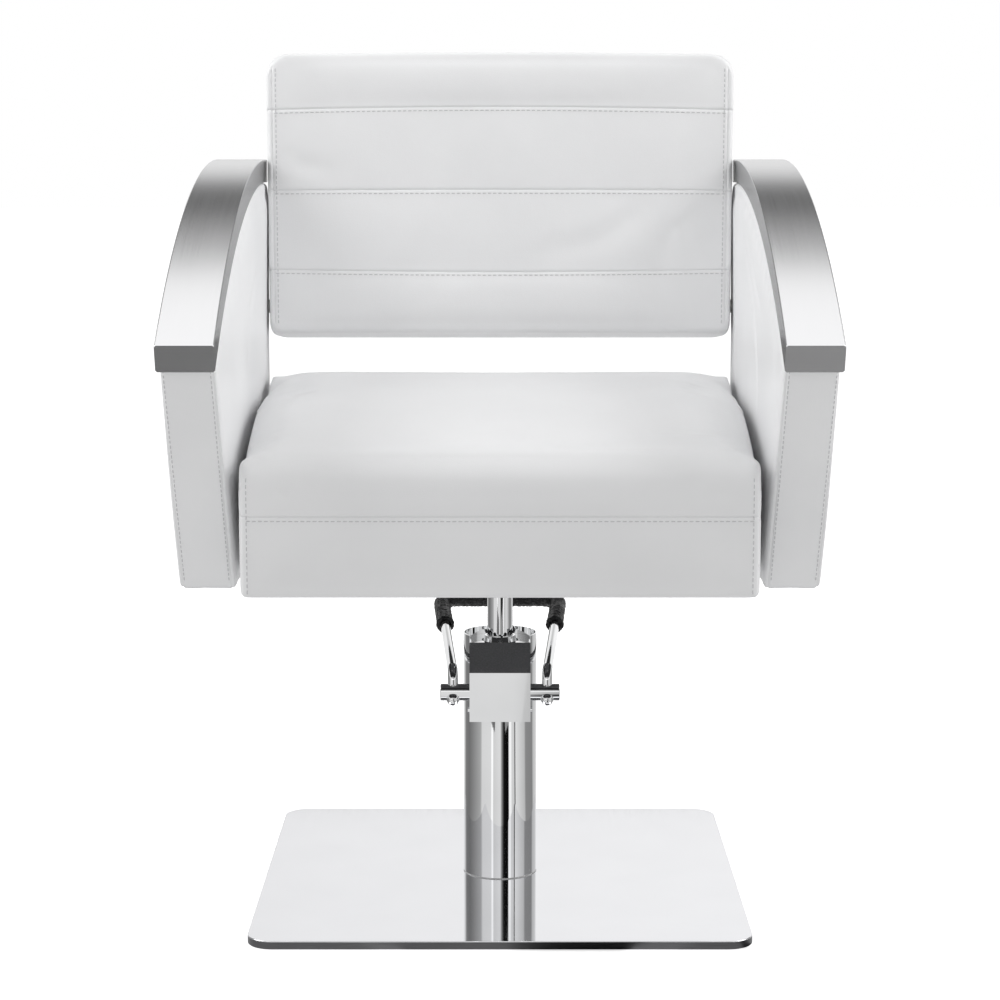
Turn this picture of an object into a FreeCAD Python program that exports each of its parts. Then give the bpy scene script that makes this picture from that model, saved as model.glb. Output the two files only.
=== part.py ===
import FreeCAD, Part
import math
import os
from FreeCAD import Vector

# A hydraulic salon styling chair, in millimetres. +Z is up, the sitter faces -Y and +X is to the
# right of someone looking at the chair's front. The origin is on the floor under the column.
# Pieces turn or slide as follows: the piston lifts along +Z, the chair turns about the column, the
# foot lever tips about its cross shaft and pushes the pump plunger and the release pin down.

# ---------------------------------------------------------------- driving dimensions
CLEARANCE = 0.1            # drilled hole over shank, on the radius
BEYOND = 1.0               # how far a cutting shape reaches past the face it cuts
RUNNING_FIT = 0.05         # moving shaft in its bore, on the radius

MAT_THICKNESS = 2.0
MAT_INSET = 8.0
PLATE_SIZE = 480.0
PLATE_THICKNESS = 8.0
PLATE_CORNER = 25.0
PLATE_TOP = MAT_THICKNESS + PLATE_THICKNESS

COLUMN_RADIUS = 37.5
COLUMN_WALL = 1.5
COLUMN_TOP = 260.0
GASKET_HEIGHT = 1.0
GASKET_LIP = 0.5
FOOT_FLANGE_RADIUS = 35.0
FOOT_FLANGE_HEIGHT = 10.0
FOOT_BOLT_CIRCLE = 26.0
FOOT_BOLT_RADIUS = 4.0
PLATE_RIM_CHAMFER = 0.8

RESERVOIR_RADIUS = 31.0
RESERVOIR_WALL = 2.5
RAM_WALL = 3.0
ROD_RADIUS = 13.0
RAM_BORE_RADIUS = 17.0
PISTON_HEIGHT = 20.0
GROOVE_HEIGHTS = (8.0, 12.0)
GROOVE_DEPTH = 3.0
PISTON_BOTTOM = PLATE_TOP + FOOT_FLANGE_HEIGHT + 2.0
HEAD_BOTTOM = 140.0
HEAD_TOP = 249.0
HEAD_RADIUS = 34.0
BUSH_BOTTOM = 222.0
SEAL_BOTTOM = 243.0
CAP_THICKNESS = 3.0
CAP_BORE_RADIUS = 18.5
GLAND_TOP = 257.0
GLAND_FOOT_RADIUS = 18.0
GLAND_TOP_RADIUS = 15.5
GLAND_BORE_GAP = 0.4

SHAFT_Y = -46.0
SHAFT_Z = 207.0
SHAFT_RADIUS = 8.6
SHAFT_HALF_LENGTH = 60.0
COVER_HALF_WIDTH = 30.5
COVER_FRONT = -60.0
COVER_BOTTOM = 179.5
COVER_SHOULDER = 229.5
COVER_SLOPE_BACK = -34.0
COVER_TOP = 255.5
COVER_SHEET = 1.2
COVER_WALL_BACK = -18.0
COVER_GAP = 0.3
DOORWAY_GAP = 0.5
CAP_GAP = 0.2

BAR_RADIUS = 5.2
BAR_FOOT_X = 47.3
BAR_KINK_Z = 228.0
BAR_BEND = 20.0
BAR_KINK_BEND = 14.0
BAR_INTO_SHAFT = 0.5
BAR_CORNER = Vector(65.0, 204.0, 257.5)
GRIP_RADIUS = 8.8
GRIP_START_Y = 108.0
GRIP_RING_RADIUS = 9.7
GRIP_RING_LENGTH = 7.0
CLAMP_TILT_DEG = 38.0
CLAMP_SHANK_RADIUS = 2.5
CLAMP_DEPTH = 6.0
CLAMP_COLLAR_RADIUS = 6.2
CLAMP_COLLAR_HEIGHT = 2.2
CLAMP_DOME_RADIUS = 6.4
CLAMP_DOME_RISE = 0.8
CLAMP_DOME_SINK = 0.2
SHAFT_END_CHAMFER = 0.6

PLUNGER_Y = -26.0
PLUNGER_RADIUS = 5.0
PLUNGER_BOTTOM = 166.0
CAM_TIP_RADIUS = 5.0
CAM_HUB_RADIUS = 11.6
CAM_GAP = 0.3
SLOT_FLOOR = 190.0
RELEASE_X = 12.0
RELEASE_RADIUS = 3.0
LEVER_TRAVEL_DEG = 25.0

SEAT_BOTTOM = 336.0
SEAT_FRONT = -232.0
SEAT_BACK = 247.0
SEAT_FRONT_HALF_WIDTH = 242.0
SEAT_HALF_WIDTH = 250.0
SEAT_ROLL_START_Z = 438.0
SEAT_ROLL_DEPTH = 34.0
SEAT_ROLL_END_Z = 473.0
SEAT_ROLL_MIDDLE = 0.57
SEAT_CREST_Y = 70.0
SEAT_CREST_Z = 514.0
SEAT_REAR_EDGE_Z = 504.0
SEAT_REAR_ROUND = 15.0
SEAT_FRONT_CORNER = 14.0
SEAT_REAR_CORNER = 20.0
BOARD_THICKNESS = 15.0
BOARD_HALF_WIDTH = 232.0
BOARD_FRONT = -214.0
BOARD_BACK = 230.0
RAIL_SECTION = (24.0, 40.0)
RAIL_Y = (-150.0, 200.0)
DUST_COVER_MARGIN = 6.0
DUST_COVER_THICKNESS = 1.0
DUST_COVER_WINDOW_GAP = 1.0
MOUNT_PLATE_CORNER = 12.0
HEXAGON_RADIUS = 7.5
HEXAGON_HEIGHT = 5.5
MOUNT_PLATE_SIZE = 190.0
MOUNT_PLATE_THICKNESS = 6.0
MOUNT_BOLT_SPACING = 140.0
SOCKET_BOTTOM = 299.0
SOCKET_FOOT_RADIUS = 19.0
SOCKET_TOP_RADIUS = 25.0

ARM_INNER = 256.0
ARM_OUTER = 310.0
ARM_BACK = 264.0
ARM_BOTTOM = 329.0
ARM_FOOT_FRONT = -128.0
ARC_RADIUS = 922.0
ARC_CENTRE_Y = 245.0
ARC_CENTRE_Z = -184.4
NOSE_Y = -279.0
NOSE_CUT_DEG = 19.0
STRAP_THICKNESS = 25.0
STRAP_WALL = 2.0
CORE_THICKNESS = 18.0
CORE_MARGIN = 22.0
PANEL_SETBACK = 7.0
PANEL_FOOT_CORNER = 14.0
PANEL_FRONT_ROUND = 7.0
NOSE_WALL = 8.0
STRAP_SCREW_YS = (-200.0, -90.0, 40.0, 170.0)
STRAP_SCREW_RADIUS = 2.2
STRAP_SCREW_LENGTH = 20.0
STRAP_SCREW_HEAD_RADIUS = 4.5
STRAP_SCREW_HEAD_HEIGHT = 2.4

BACK_FOOT_Y = 200.0
BACK_FOOT_Z = 550.0
BACK_LEAN_DEG = 11.7
BACK_HEIGHT = 311.0
BACK_HALF_WIDTH_LOW = 251.5
BACK_HALF_WIDTH_TOP = 257.5
BACK_FRONT_THICKNESS = 42.0
BACK_REAR_THICKNESS = 24.0
BACK_CORNER = 18.0
FRAME_FRONT = 22.0
FRAME_HALF_WIDTH = 226.0
FRAME_HEIGHTS = (20.0, 289.0)
FRAME_WINDOW_HALF_WIDTH = 150.0
FRAME_WINDOW_HEIGHTS = (90.0, 219.0)
BACK_FRONT_ROUND = 12.0
BACK_REAR_ROUND = 10.0
BACK_REAR_INSET = 1.5

BOLT_RADIUS = 4.0
INSERT_RADIUS = 5.4
INSERT_LENGTH = 14.0
SLEEVE_RADIUS = 7.5
WASHER_RADIUS = 10.0
WASHER_THICKNESS = 1.5
HEAD_HEIGHT = 3.0
HEAD_RADIUS_M8 = 7.0
RECESS_DEPTH = 3.0
RECESS_GAP = 0.5
KEY_RADIUS = 2.5
KEY_DEPTH = 1.8
HEAD_TAPER = 2.5

UP = Vector(0, 0, 1)
ALONG_X = Vector(1, 0, 0)
SIDES = (("left", -1), ("right", 1))


# ---------------------------------------------------------------- general shapes
def cylinder(radius, bottom, top, x=0.0, y=0.0):
    """An upright cylinder between two heights."""
    return Part.makeCylinder(radius, top - bottom, Vector(x, y, bottom), UP)


def tube(outer, inner, bottom, top, x=0.0, y=0.0):
    """An upright tube between two heights."""
    return cylinder(outer, bottom, top, x, y).cut(cylinder(inner, bottom - 1, top + 1, x, y))


def cross_cylinder(radius, x_start, x_end, y, z):
    """A cylinder along X between two X values."""
    return Part.makeCylinder(radius, x_end - x_start, Vector(x_start, y, z), ALONG_X)


def side_cylinder(radius, side, near, far, y, z):
    """A cylinder along X on one side of the chair, between two distances from the middle."""
    ends = sorted((side * near, side * far))
    return cross_cylinder(radius, ends[0], ends[1], y, z)


def block(x, y, z):
    """A box from three (low, high) pairs."""
    size = [pair[1] - pair[0] for pair in (x, y, z)]
    return Part.makeBox(size[0], size[1], size[2], Vector(x[0], y[0], z[0]))


def upright_edges(shape, low=-1e9, high=1e9):
    """The straight edges of a shape that run along Z, within a range of Y."""
    found = []
    for edge in shape.Edges:
        ends = [vertex.Point for vertex in edge.Vertexes]
        if len(ends) != 2:
            continue
        run = ends[1] - ends[0]
        if abs(run.x) < 1e-6 and abs(run.y) < 1e-6 and low <= ends[0].y <= high:
            found.append(edge)
    return found


def rounded_slab(half_x, half_y, bottom, top, corner):
    """A flat square slab with rounded corners."""
    slab = block((-half_x, half_x), (-half_y, half_y), (bottom, top))
    return slab.makeFillet(corner, upright_edges(slab))


def prism(points, low, high):
    """A closed outline of (y, z) points, filled and extruded along X."""
    corners = [Vector(low, y, z) for y, z in points]
    wire = Part.makePolygon(corners + corners[:1])
    return Part.Face(wire).extrude(Vector(high - low, 0, 0))


def filled(edges, reach):
    """A closed chain of edges, filled and extruded along a vector."""
    return Part.Face(Part.Wire(Part.__sortEdges__(edges))).extrude(reach)


def arc(first, middle, last):
    """A circular edge through three points."""
    return Part.Arc(first, middle, last).toShape()


def line(first, last):
    """A straight edge."""
    return Part.LineSegment(first, last).toShape()


def bent_wire(points, radii):
    """Straight runs through the points, joined by a tangent arc at each inner point."""
    edges = []
    start = points[0]
    for before, corner, after, radius in zip(points, points[1:], points[2:], radii):
        back = (before - corner).normalize()
        ahead = (after - corner).normalize()
        half_angle = back.getAngle(ahead) / 2
        setback = radius / math.tan(half_angle)
        bisector = (back + ahead).normalize()
        centre = corner + bisector * (radius / math.sin(half_angle))
        entry = corner + back * setback
        leaving = corner + ahead * setback
        edges.append(line(start, entry))
        edges.append(arc(entry, centre - bisector * radius, leaving))
        start = leaving
    edges.append(line(start, points[-1]))
    return Part.Wire(edges)


def round_sweep(wire, radius):
    """A round rod swept along a wire."""
    start = wire.Edges[0]
    heading = start.tangentAt(start.FirstParameter)
    section = Part.Wire(Part.makeCircle(radius, wire.Vertexes[0].Point, heading))
    return wire.makePipeShell([section], True, False)


def coil_spring(x, y, bottom, top, radius, wire_radius, turns):
    """An upright helical spring."""
    height = top - bottom - 2 * wire_radius
    helix = Part.makeHelix(height / turns, height, radius)
    heading = Vector(0, 2 * math.pi * radius, height / turns)
    section = Part.Wire(Part.makeCircle(wire_radius, Vector(radius, 0, 0), heading))
    spring = Part.Wire(helix).makePipeShell([section], True, True)
    spring.translate(Vector(x, y, bottom + wire_radius))
    return spring


def leaned(shape):
    """A piece built upright at the back's foot, leaned back to the backrest's angle."""
    moved = shape.copy()
    moved.rotate(Vector(0, 0, 0), ALONG_X, -BACK_LEAN_DEG)
    moved.translate(Vector(0, BACK_FOOT_Y, BACK_FOOT_Z))
    return moved


def back_point(depth, height):
    """The (y, z) of a point at a depth behind the backrest's face and a height up it."""
    lean = math.radians(BACK_LEAN_DEG)
    y = BACK_FOOT_Y + depth * math.cos(lean) + height * math.sin(lean)
    z = BACK_FOOT_Z - depth * math.sin(lean) + height * math.cos(lean)
    return y, z


def save(name, *solids):
    """Write one sub-part."""
    shape = solids[0] if len(solids) == 1 else Part.makeCompound(list(solids))
    if not shape.isValid():
        print("not valid:", name)
    if not all(solid.isClosed() for solid in shape.Solids):
        print("not closed:", name)
    print(name, len(shape.Solids), round(shape.Volume / 1000.0, 1), "cm3")
    shape.exportStep(os.path.join("parts", name + ".step"))


# ---------------------------------------------------------------- base plate and column
FOOT_BOLT_PLACES = [
    (FOOT_BOLT_CIRCLE * sx * math.sqrt(0.5), FOOT_BOLT_CIRCLE * sy * math.sqrt(0.5))
    for sx in (-1, 1)
    for sy in (-1, 1)
]
FLANGE_TOP = PLATE_TOP + FOOT_FLANGE_HEIGHT
BOLT_HEAD_RADIUS = 8.0


def base_bolt(x, y, grow=0.0):
    """A countersunk bolt from under the plate into the pump's foot."""
    radius = FOOT_BOLT_RADIUS + grow
    head = Part.makeCone(
        BOLT_HEAD_RADIUS + grow, radius, BOLT_HEAD_RADIUS - FOOT_BOLT_RADIUS,
        Vector(x, y, MAT_THICKNESS), UP,
    )
    return head.fuse(cylinder(radius, MAT_THICKNESS, FLANGE_TOP - 2, x, y))


def make_base():
    half = PLATE_SIZE / 2
    mat_half = half - MAT_INSET
    save("anti_slip_mat", rounded_slab(mat_half, mat_half, 0, MAT_THICKNESS, PLATE_CORNER - MAT_INSET))

    plate = rounded_slab(half, half, MAT_THICKNESS, PLATE_TOP, PLATE_CORNER)
    rim = [edge for edge in plate.Edges if edge.BoundBox.ZMin > PLATE_TOP - 0.01]
    plate = plate.makeChamfer(PLATE_RIM_CHAMFER, rim)
    foot = cylinder(FOOT_FLANGE_RADIUS, PLATE_TOP, FLANGE_TOP)
    for x, y in FOOT_BOLT_PLACES:
        plate = plate.cut(base_bolt(x, y, CLEARANCE))
        foot = foot.cut(base_bolt(x, y, CLEARANCE))
    save("base_plate", plate)
    save("pump_foot", foot)
    save("base_bolts", *[base_bolt(x, y) for x, y in FOOT_BOLT_PLACES])

    tube_bottom = PLATE_TOP + GASKET_HEIGHT
    inner = COLUMN_RADIUS - COLUMN_WALL
    save("foot_gasket", tube(COLUMN_RADIUS, inner - GASKET_LIP, PLATE_TOP, tube_bottom))
    cover = tube(COLUMN_RADIUS, inner, tube_bottom, COLUMN_TOP)
    doorway = COVER_HALF_WIDTH + DOORWAY_GAP
    doorway_z = (COVER_BOTTOM - DOORWAY_GAP, COLUMN_TOP + BEYOND)
    opening = block((-doorway, doorway), (-2 * COLUMN_RADIUS, 0), doorway_z)
    save("column_cover", cover.cut(opening))

    reservoir_bore = RESERVOIR_RADIUS - RESERVOIR_WALL
    save("reservoir_tube", tube(RESERVOIR_RADIUS, reservoir_bore, FLANGE_TOP, HEAD_BOTTOM))
    save("ram_cylinder", tube(RAM_BORE_RADIUS + RAM_WALL, RAM_BORE_RADIUS, FLANGE_TOP, HEAD_BOTTOM))


# ---------------------------------------------------------------- pump head
BLOCK_HALF_WIDTH = 27.0
BLOCK_FRONT = -57.0
BLOCK_BOTTOM = 183.0
BLOCK_TOP = 222.0
SLOT_X = (-7.0, 18.0)
SLOT_BACK = -20.0
BUSH_WALL = 2.0
PLUNGER_BORE_BOTTOM = 142.0
RELEASE_BORE_BOTTOM = 171.0
RELEASE_BOTTOM = 182.0
COVER_SCREW_Y = -42.0
COVER_SCREW_Z = 188.0
COVER_SCREW_RADIUS = 2.0
COVER_SCREW_HEAD = (3.6, 2.0)   # radius, height
PLUNGER_SPRING = (3.9, 0.6, 8)  # coil radius, wire radius, turns
RELEASE_SPRING = (2.3, 0.35, 7)
PLUNGER_TOP = SHAFT_Z - CAM_TIP_RADIUS - CAM_GAP
CAM_REACH = PLUNGER_Y - SHAFT_Y
RELEASE_TOP = PLUNGER_TOP - CAM_REACH * math.sin(math.radians(LEVER_TRAVEL_DEG))


def make_pump_head():
    head = cylinder(HEAD_RADIUS, HEAD_BOTTOM, HEAD_TOP)
    front = block((-BLOCK_HALF_WIDTH, BLOCK_HALF_WIDTH), (BLOCK_FRONT, 0), (BLOCK_BOTTOM, BLOCK_TOP))
    head = head.fuse(front)
    head = head.cut(cylinder(RAM_BORE_RADIUS, HEAD_BOTTOM - 1, BUSH_BOTTOM))
    head = head.cut(cylinder(ROD_RADIUS + 3, BUSH_BOTTOM - 1, SEAL_BOTTOM))
    head = head.cut(cylinder(RAM_BORE_RADIUS, SEAL_BOTTOM, HEAD_TOP + 1))
    slot = block(SLOT_X, (BLOCK_FRONT - 1, SLOT_BACK), (SLOT_FLOOR, HEAD_TOP + 1))
    head = head.cut(slot)
    bush_outer = SHAFT_RADIUS + RUNNING_FIT + BUSH_WALL
    across = BLOCK_HALF_WIDTH + BEYOND
    head = head.cut(cross_cylinder(bush_outer, -across, across, SHAFT_Y, SHAFT_Z))
    plunger_bore = PLUNGER_RADIUS + RUNNING_FIT
    head = head.cut(cylinder(plunger_bore, PLUNGER_BORE_BOTTOM, SLOT_FLOOR + 1, 0, PLUNGER_Y))
    release_bore = RELEASE_RADIUS + RUNNING_FIT
    head = head.cut(cylinder(release_bore, RELEASE_BORE_BOTTOM, SLOT_FLOOR + 1, RELEASE_X, PLUNGER_Y))
    for side in (-1, 1):
        screw_hole = side_cylinder(
            COVER_SCREW_RADIUS + CLEARANCE, side, BLOCK_HALF_WIDTH - 7, BLOCK_HALF_WIDTH + 1,
            COVER_SCREW_Y, COVER_SCREW_Z,
        )
        head = head.cut(screw_hole)
    save("pump_head", head)

    save("rod_bush", tube(ROD_RADIUS + 3, ROD_RADIUS + RUNNING_FIT, BUSH_BOTTOM, SEAL_BOTTOM))
    save("rod_seal", tube(RAM_BORE_RADIUS, ROD_RADIUS + RUNNING_FIT, SEAL_BOTTOM, HEAD_TOP))
    gland_height = GLAND_TOP - HEAD_TOP
    flare = Part.makeCone(GLAND_FOOT_RADIUS, GLAND_TOP_RADIUS, gland_height, Vector(0, 0, HEAD_TOP), UP)
    save("gland_ring", flare.cut(cylinder(ROD_RADIUS + GLAND_BORE_GAP, HEAD_TOP - 1, GLAND_TOP + 1)))

    bushes = []
    for low, high in ((-BLOCK_HALF_WIDTH, SLOT_X[0]), (SLOT_X[1], BLOCK_HALF_WIDTH)):
        outside = cross_cylinder(bush_outer, low, high, SHAFT_Y, SHAFT_Z)
        bore = cross_cylinder(SHAFT_RADIUS + RUNNING_FIT, low - 1, high + 1, SHAFT_Y, SHAFT_Z)
        bushes.append(outside.cut(bore))
    save("shaft_bushes", *bushes)

    cap_radius = COLUMN_RADIUS - COLUMN_WALL - CAP_GAP
    cap = tube(cap_radius, CAP_BORE_RADIUS, HEAD_TOP, HEAD_TOP + CAP_THICKNESS)
    # The cover's top and its two side walls reach into the cap's edge, so the cap stands clear of them.
    above = (HEAD_TOP - 1, COVER_TOP + 1)
    outer_half = COVER_HALF_WIDTH + COVER_GAP
    cap = cap.cut(block((-outer_half, outer_half), (COVER_FRONT, COVER_SLOPE_BACK + 1), above))
    wall_y = (COVER_FRONT, COVER_WALL_BACK + COVER_GAP)
    for side in (-1, 1):
        wall_x = sorted((side * (COVER_HALF_WIDTH - COVER_SHEET - COVER_GAP), side * outer_half))
        cap = cap.cut(block(wall_x, wall_y, above))
    save("head_cap", cap)


def cover_outline(inset):
    """The side outline of the box over the lever shaft, moved inwards by a sheet thickness."""
    front = COVER_FRONT + inset
    slope = (COVER_TOP - COVER_SHOULDER) / (COVER_SLOPE_BACK - COVER_FRONT)
    drop = inset * math.sqrt(1 + slope * slope)
    top_front = COVER_SHOULDER + slope * inset - drop
    top_back = COVER_TOP - drop
    return [
        (front, COVER_BOTTOM + inset),
        (front, top_front),
        (COVER_SLOPE_BACK, top_back),
        (COVER_WALL_BACK, top_back),
        (COVER_WALL_BACK, COVER_BOTTOM + inset),
    ]


def make_head_cover():
    outside = prism(cover_outline(0.0), -COVER_HALF_WIDTH, COVER_HALF_WIDTH)
    inner_half = COVER_HALF_WIDTH - COVER_SHEET
    hollow = prism(cover_outline(COVER_SHEET), -inner_half, inner_half)
    cover = outside.cut(hollow)
    cover = cover.cut(cylinder(HEAD_RADIUS + COVER_GAP, COVER_BOTTOM - BEYOND, COVER_TOP + BEYOND))
    shaft_hole = SHAFT_RADIUS + 2 * COVER_GAP
    across = COVER_HALF_WIDTH + BEYOND
    cover = cover.cut(cross_cylinder(shaft_hole, -across, across, SHAFT_Y, SHAFT_Z))
    full_height = (COVER_BOTTOM - BEYOND, COVER_TOP + BEYOND)
    back_open = block((-inner_half, inner_half), (COVER_SLOPE_BACK, 0), full_height)
    cover = cover.cut(back_open)
    screws = []
    for side in (-1, 1):
        shank = side_cylinder(
            COVER_SCREW_RADIUS, side, BLOCK_HALF_WIDTH - 6, COVER_HALF_WIDTH,
            COVER_SCREW_Y, COVER_SCREW_Z,
        )
        head_end = COVER_HALF_WIDTH + COVER_SCREW_HEAD[1]
        head = side_cylinder(
            COVER_SCREW_HEAD[0], side, COVER_HALF_WIDTH, head_end, COVER_SCREW_Y, COVER_SCREW_Z
        )
        hole = side_cylinder(
            COVER_SCREW_RADIUS + CLEARANCE, side, inner_half - 1, COVER_HALF_WIDTH + 1,
            COVER_SCREW_Y, COVER_SCREW_Z,
        )
        cover = cover.cut(hole)
        screws.append(shank.fuse(head).removeSplitter())
    save("head_cover", cover)
    save("cover_screws", *screws)


# ---------------------------------------------------------------- piston, plunger and release pin
def make_moving_hydraulics():
    groove_low = PISTON_BOTTOM + GROOVE_HEIGHTS[0]
    groove_high = PISTON_BOTTOM + GROOVE_HEIGHTS[1]
    groove_floor = RAM_BORE_RADIUS - GROOVE_DEPTH
    piston = cylinder(RAM_BORE_RADIUS - RUNNING_FIT, PISTON_BOTTOM, PISTON_BOTTOM + PISTON_HEIGHT)
    piston = piston.cut(tube(RAM_BORE_RADIUS + 1, groove_floor, groove_low, groove_high))
    save("piston", piston)
    save("piston_seal", tube(RAM_BORE_RADIUS - RUNNING_FIT, groove_floor, groove_low, groove_high))

    save("pump_plunger", cylinder(PLUNGER_RADIUS, PLUNGER_BOTTOM, PLUNGER_TOP, 0, PLUNGER_Y))
    save("plunger_spring", coil_spring(0, PLUNGER_Y, PLUNGER_BORE_BOTTOM, PLUNGER_BOTTOM, *PLUNGER_SPRING))
    save("release_pin", cylinder(RELEASE_RADIUS, RELEASE_BOTTOM, RELEASE_TOP, RELEASE_X, PLUNGER_Y))
    save(
        "release_spring",
        coil_spring(RELEASE_X, PLUNGER_Y, RELEASE_BORE_BOTTOM, RELEASE_BOTTOM, *RELEASE_SPRING),
    )


# ---------------------------------------------------------------- foot lever
FIT_GAP = 0.02             # between the pieces of the lever, which are pressed together
BAR_FOOT_Z = SHAFT_Z - SHAFT_RADIUS + BAR_INTO_SHAFT


def lever_points():
    """The bar's route: up out of the shaft, back along each side of the column, across behind it."""
    corner = BAR_CORNER
    return [
        Vector(-BAR_FOOT_X, SHAFT_Y, BAR_FOOT_Z),
        Vector(-BAR_FOOT_X, SHAFT_Y, BAR_KINK_Z),
        Vector(-corner.x, corner.y, corner.z),
        Vector(corner.x, corner.y, corner.z),
        Vector(BAR_FOOT_X, SHAFT_Y, BAR_KINK_Z),
        Vector(BAR_FOOT_X, SHAFT_Y, BAR_FOOT_Z),
    ]


def clamp_bolt(side, grow=0.0):
    """A domed bolt that pins one end of the bar in the shaft, from the front and a little below."""
    tilt = math.radians(CLAMP_TILT_DEG)
    outward = Vector(0, -math.cos(tilt), -math.sin(tilt))
    centre = Vector(side * BAR_FOOT_X, SHAFT_Y, SHAFT_Z)
    tip = centre - outward * CLAMP_DEPTH
    shank = Part.makeCylinder(CLAMP_SHANK_RADIUS + grow, CLAMP_DEPTH + SHAFT_RADIUS, tip, outward)
    if grow:
        return shank
    seat = centre + outward * SHAFT_RADIUS
    collar = Part.makeCylinder(CLAMP_COLLAR_RADIUS, CLAMP_COLLAR_HEIGHT, seat, outward)
    dome = Part.makeSphere(CLAMP_DOME_RADIUS, seat + outward * CLAMP_DOME_RISE)
    reach = 2 * CLAMP_DOME_RADIUS
    above = Part.makeCylinder(reach, reach, seat + outward * (CLAMP_COLLAR_HEIGHT - CLAMP_DOME_SINK), outward)
    return shank.fuse(collar).fuse(dome.common(above)).removeSplitter()


def make_foot_lever():
    points = lever_points()
    bends = [BAR_KINK_BEND, BAR_BEND, BAR_BEND, BAR_KINK_BEND]
    bar = round_sweep(bent_wire(points, bends), BAR_RADIUS)
    shaft = cross_cylinder(SHAFT_RADIUS, -SHAFT_HALF_LENGTH, SHAFT_HALF_LENGTH, SHAFT_Y, SHAFT_Z)
    shaft = shaft.makeChamfer(SHAFT_END_CHAMFER, [edge for edge in shaft.Edges if edge.BoundBox.XLength < 0.01])
    bolts = []
    for side in (-1, 1):
        socket = cylinder(BAR_RADIUS + FIT_GAP, BAR_FOOT_Z, SHAFT_Z + 2 * SHAFT_RADIUS, side * BAR_FOOT_X, SHAFT_Y)
        shaft = shaft.cut(socket)
        hole = clamp_bolt(side, CLEARANCE)
        shaft = shaft.cut(hole)
        bar = bar.cut(hole)
        bolts.append(clamp_bolt(side))
    save("lever_shaft", shaft)
    save("lever_bar", bar)
    save("clamp_bolts", *bolts)

    starts = []
    for before, after in ((points[1], points[2]), (points[4], points[3])):
        share = (GRIP_START_Y - before.y) / (after.y - before.y)
        starts.append(before + (after - before) * share)
    route = bent_wire([starts[0], points[2], points[3], starts[1]], [BAR_BEND, BAR_BEND])
    grip = round_sweep(route, GRIP_RADIUS)
    for start, corner in ((starts[0], points[2]), (starts[1], points[3])):
        heading = (corner - start).normalize()
        grip = grip.fuse(Part.makeCylinder(GRIP_RING_RADIUS, GRIP_RING_LENGTH, start, heading))
    grip = grip.cut(round_sweep(bent_wire(points, bends), BAR_RADIUS + FIT_GAP))
    save("lever_grip", grip)

    cam_x = (SLOT_X[0] + 1, SLOT_X[1] - 1)
    hub = cross_cylinder(CAM_HUB_RADIUS, cam_x[0], cam_x[1], SHAFT_Y, SHAFT_Z)
    finger = block(cam_x, (SHAFT_Y, PLUNGER_Y), (SHAFT_Z - CAM_TIP_RADIUS, SHAFT_Z + CAM_TIP_RADIUS))
    tip = cross_cylinder(CAM_TIP_RADIUS, cam_x[0], cam_x[1], PLUNGER_Y, SHAFT_Z)
    cam = hub.fuse(finger).fuse(tip).removeSplitter()
    bore = cross_cylinder(SHAFT_RADIUS + FIT_GAP, cam_x[0] - 1, cam_x[1] + 1, SHAFT_Y, SHAFT_Z)
    save("lever_cam", cam.cut(bore))


# ---------------------------------------------------------------- seat
BOARD_TOP = SEAT_BOTTOM + BOARD_THICKNESS
SEAT_BOLT_Z = BOARD_TOP + RAIL_SECTION[1] / 2
SEAT_BOLT_YS = (-60.0, 120.0)
BACK_BOLT_HEIGHTS = (35.0, 90.0)
FRAME_THICKNESS = BACK_FRONT_THICKNESS - FRAME_FRONT
BACK_BOLTS = [back_point(FRAME_FRONT + FRAME_THICKNESS / 2, height) for height in BACK_BOLT_HEIGHTS]
SEAT_BOLTS = [(y, SEAT_BOLT_Z) for y in SEAT_BOLT_YS]
MOUNT_BOLT_PLACES = [
    (sx * MOUNT_BOLT_SPACING / 2, sy * MOUNT_BOLT_SPACING / 2) for sx in (-1, 1) for sy in (-1, 1)
]


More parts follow.
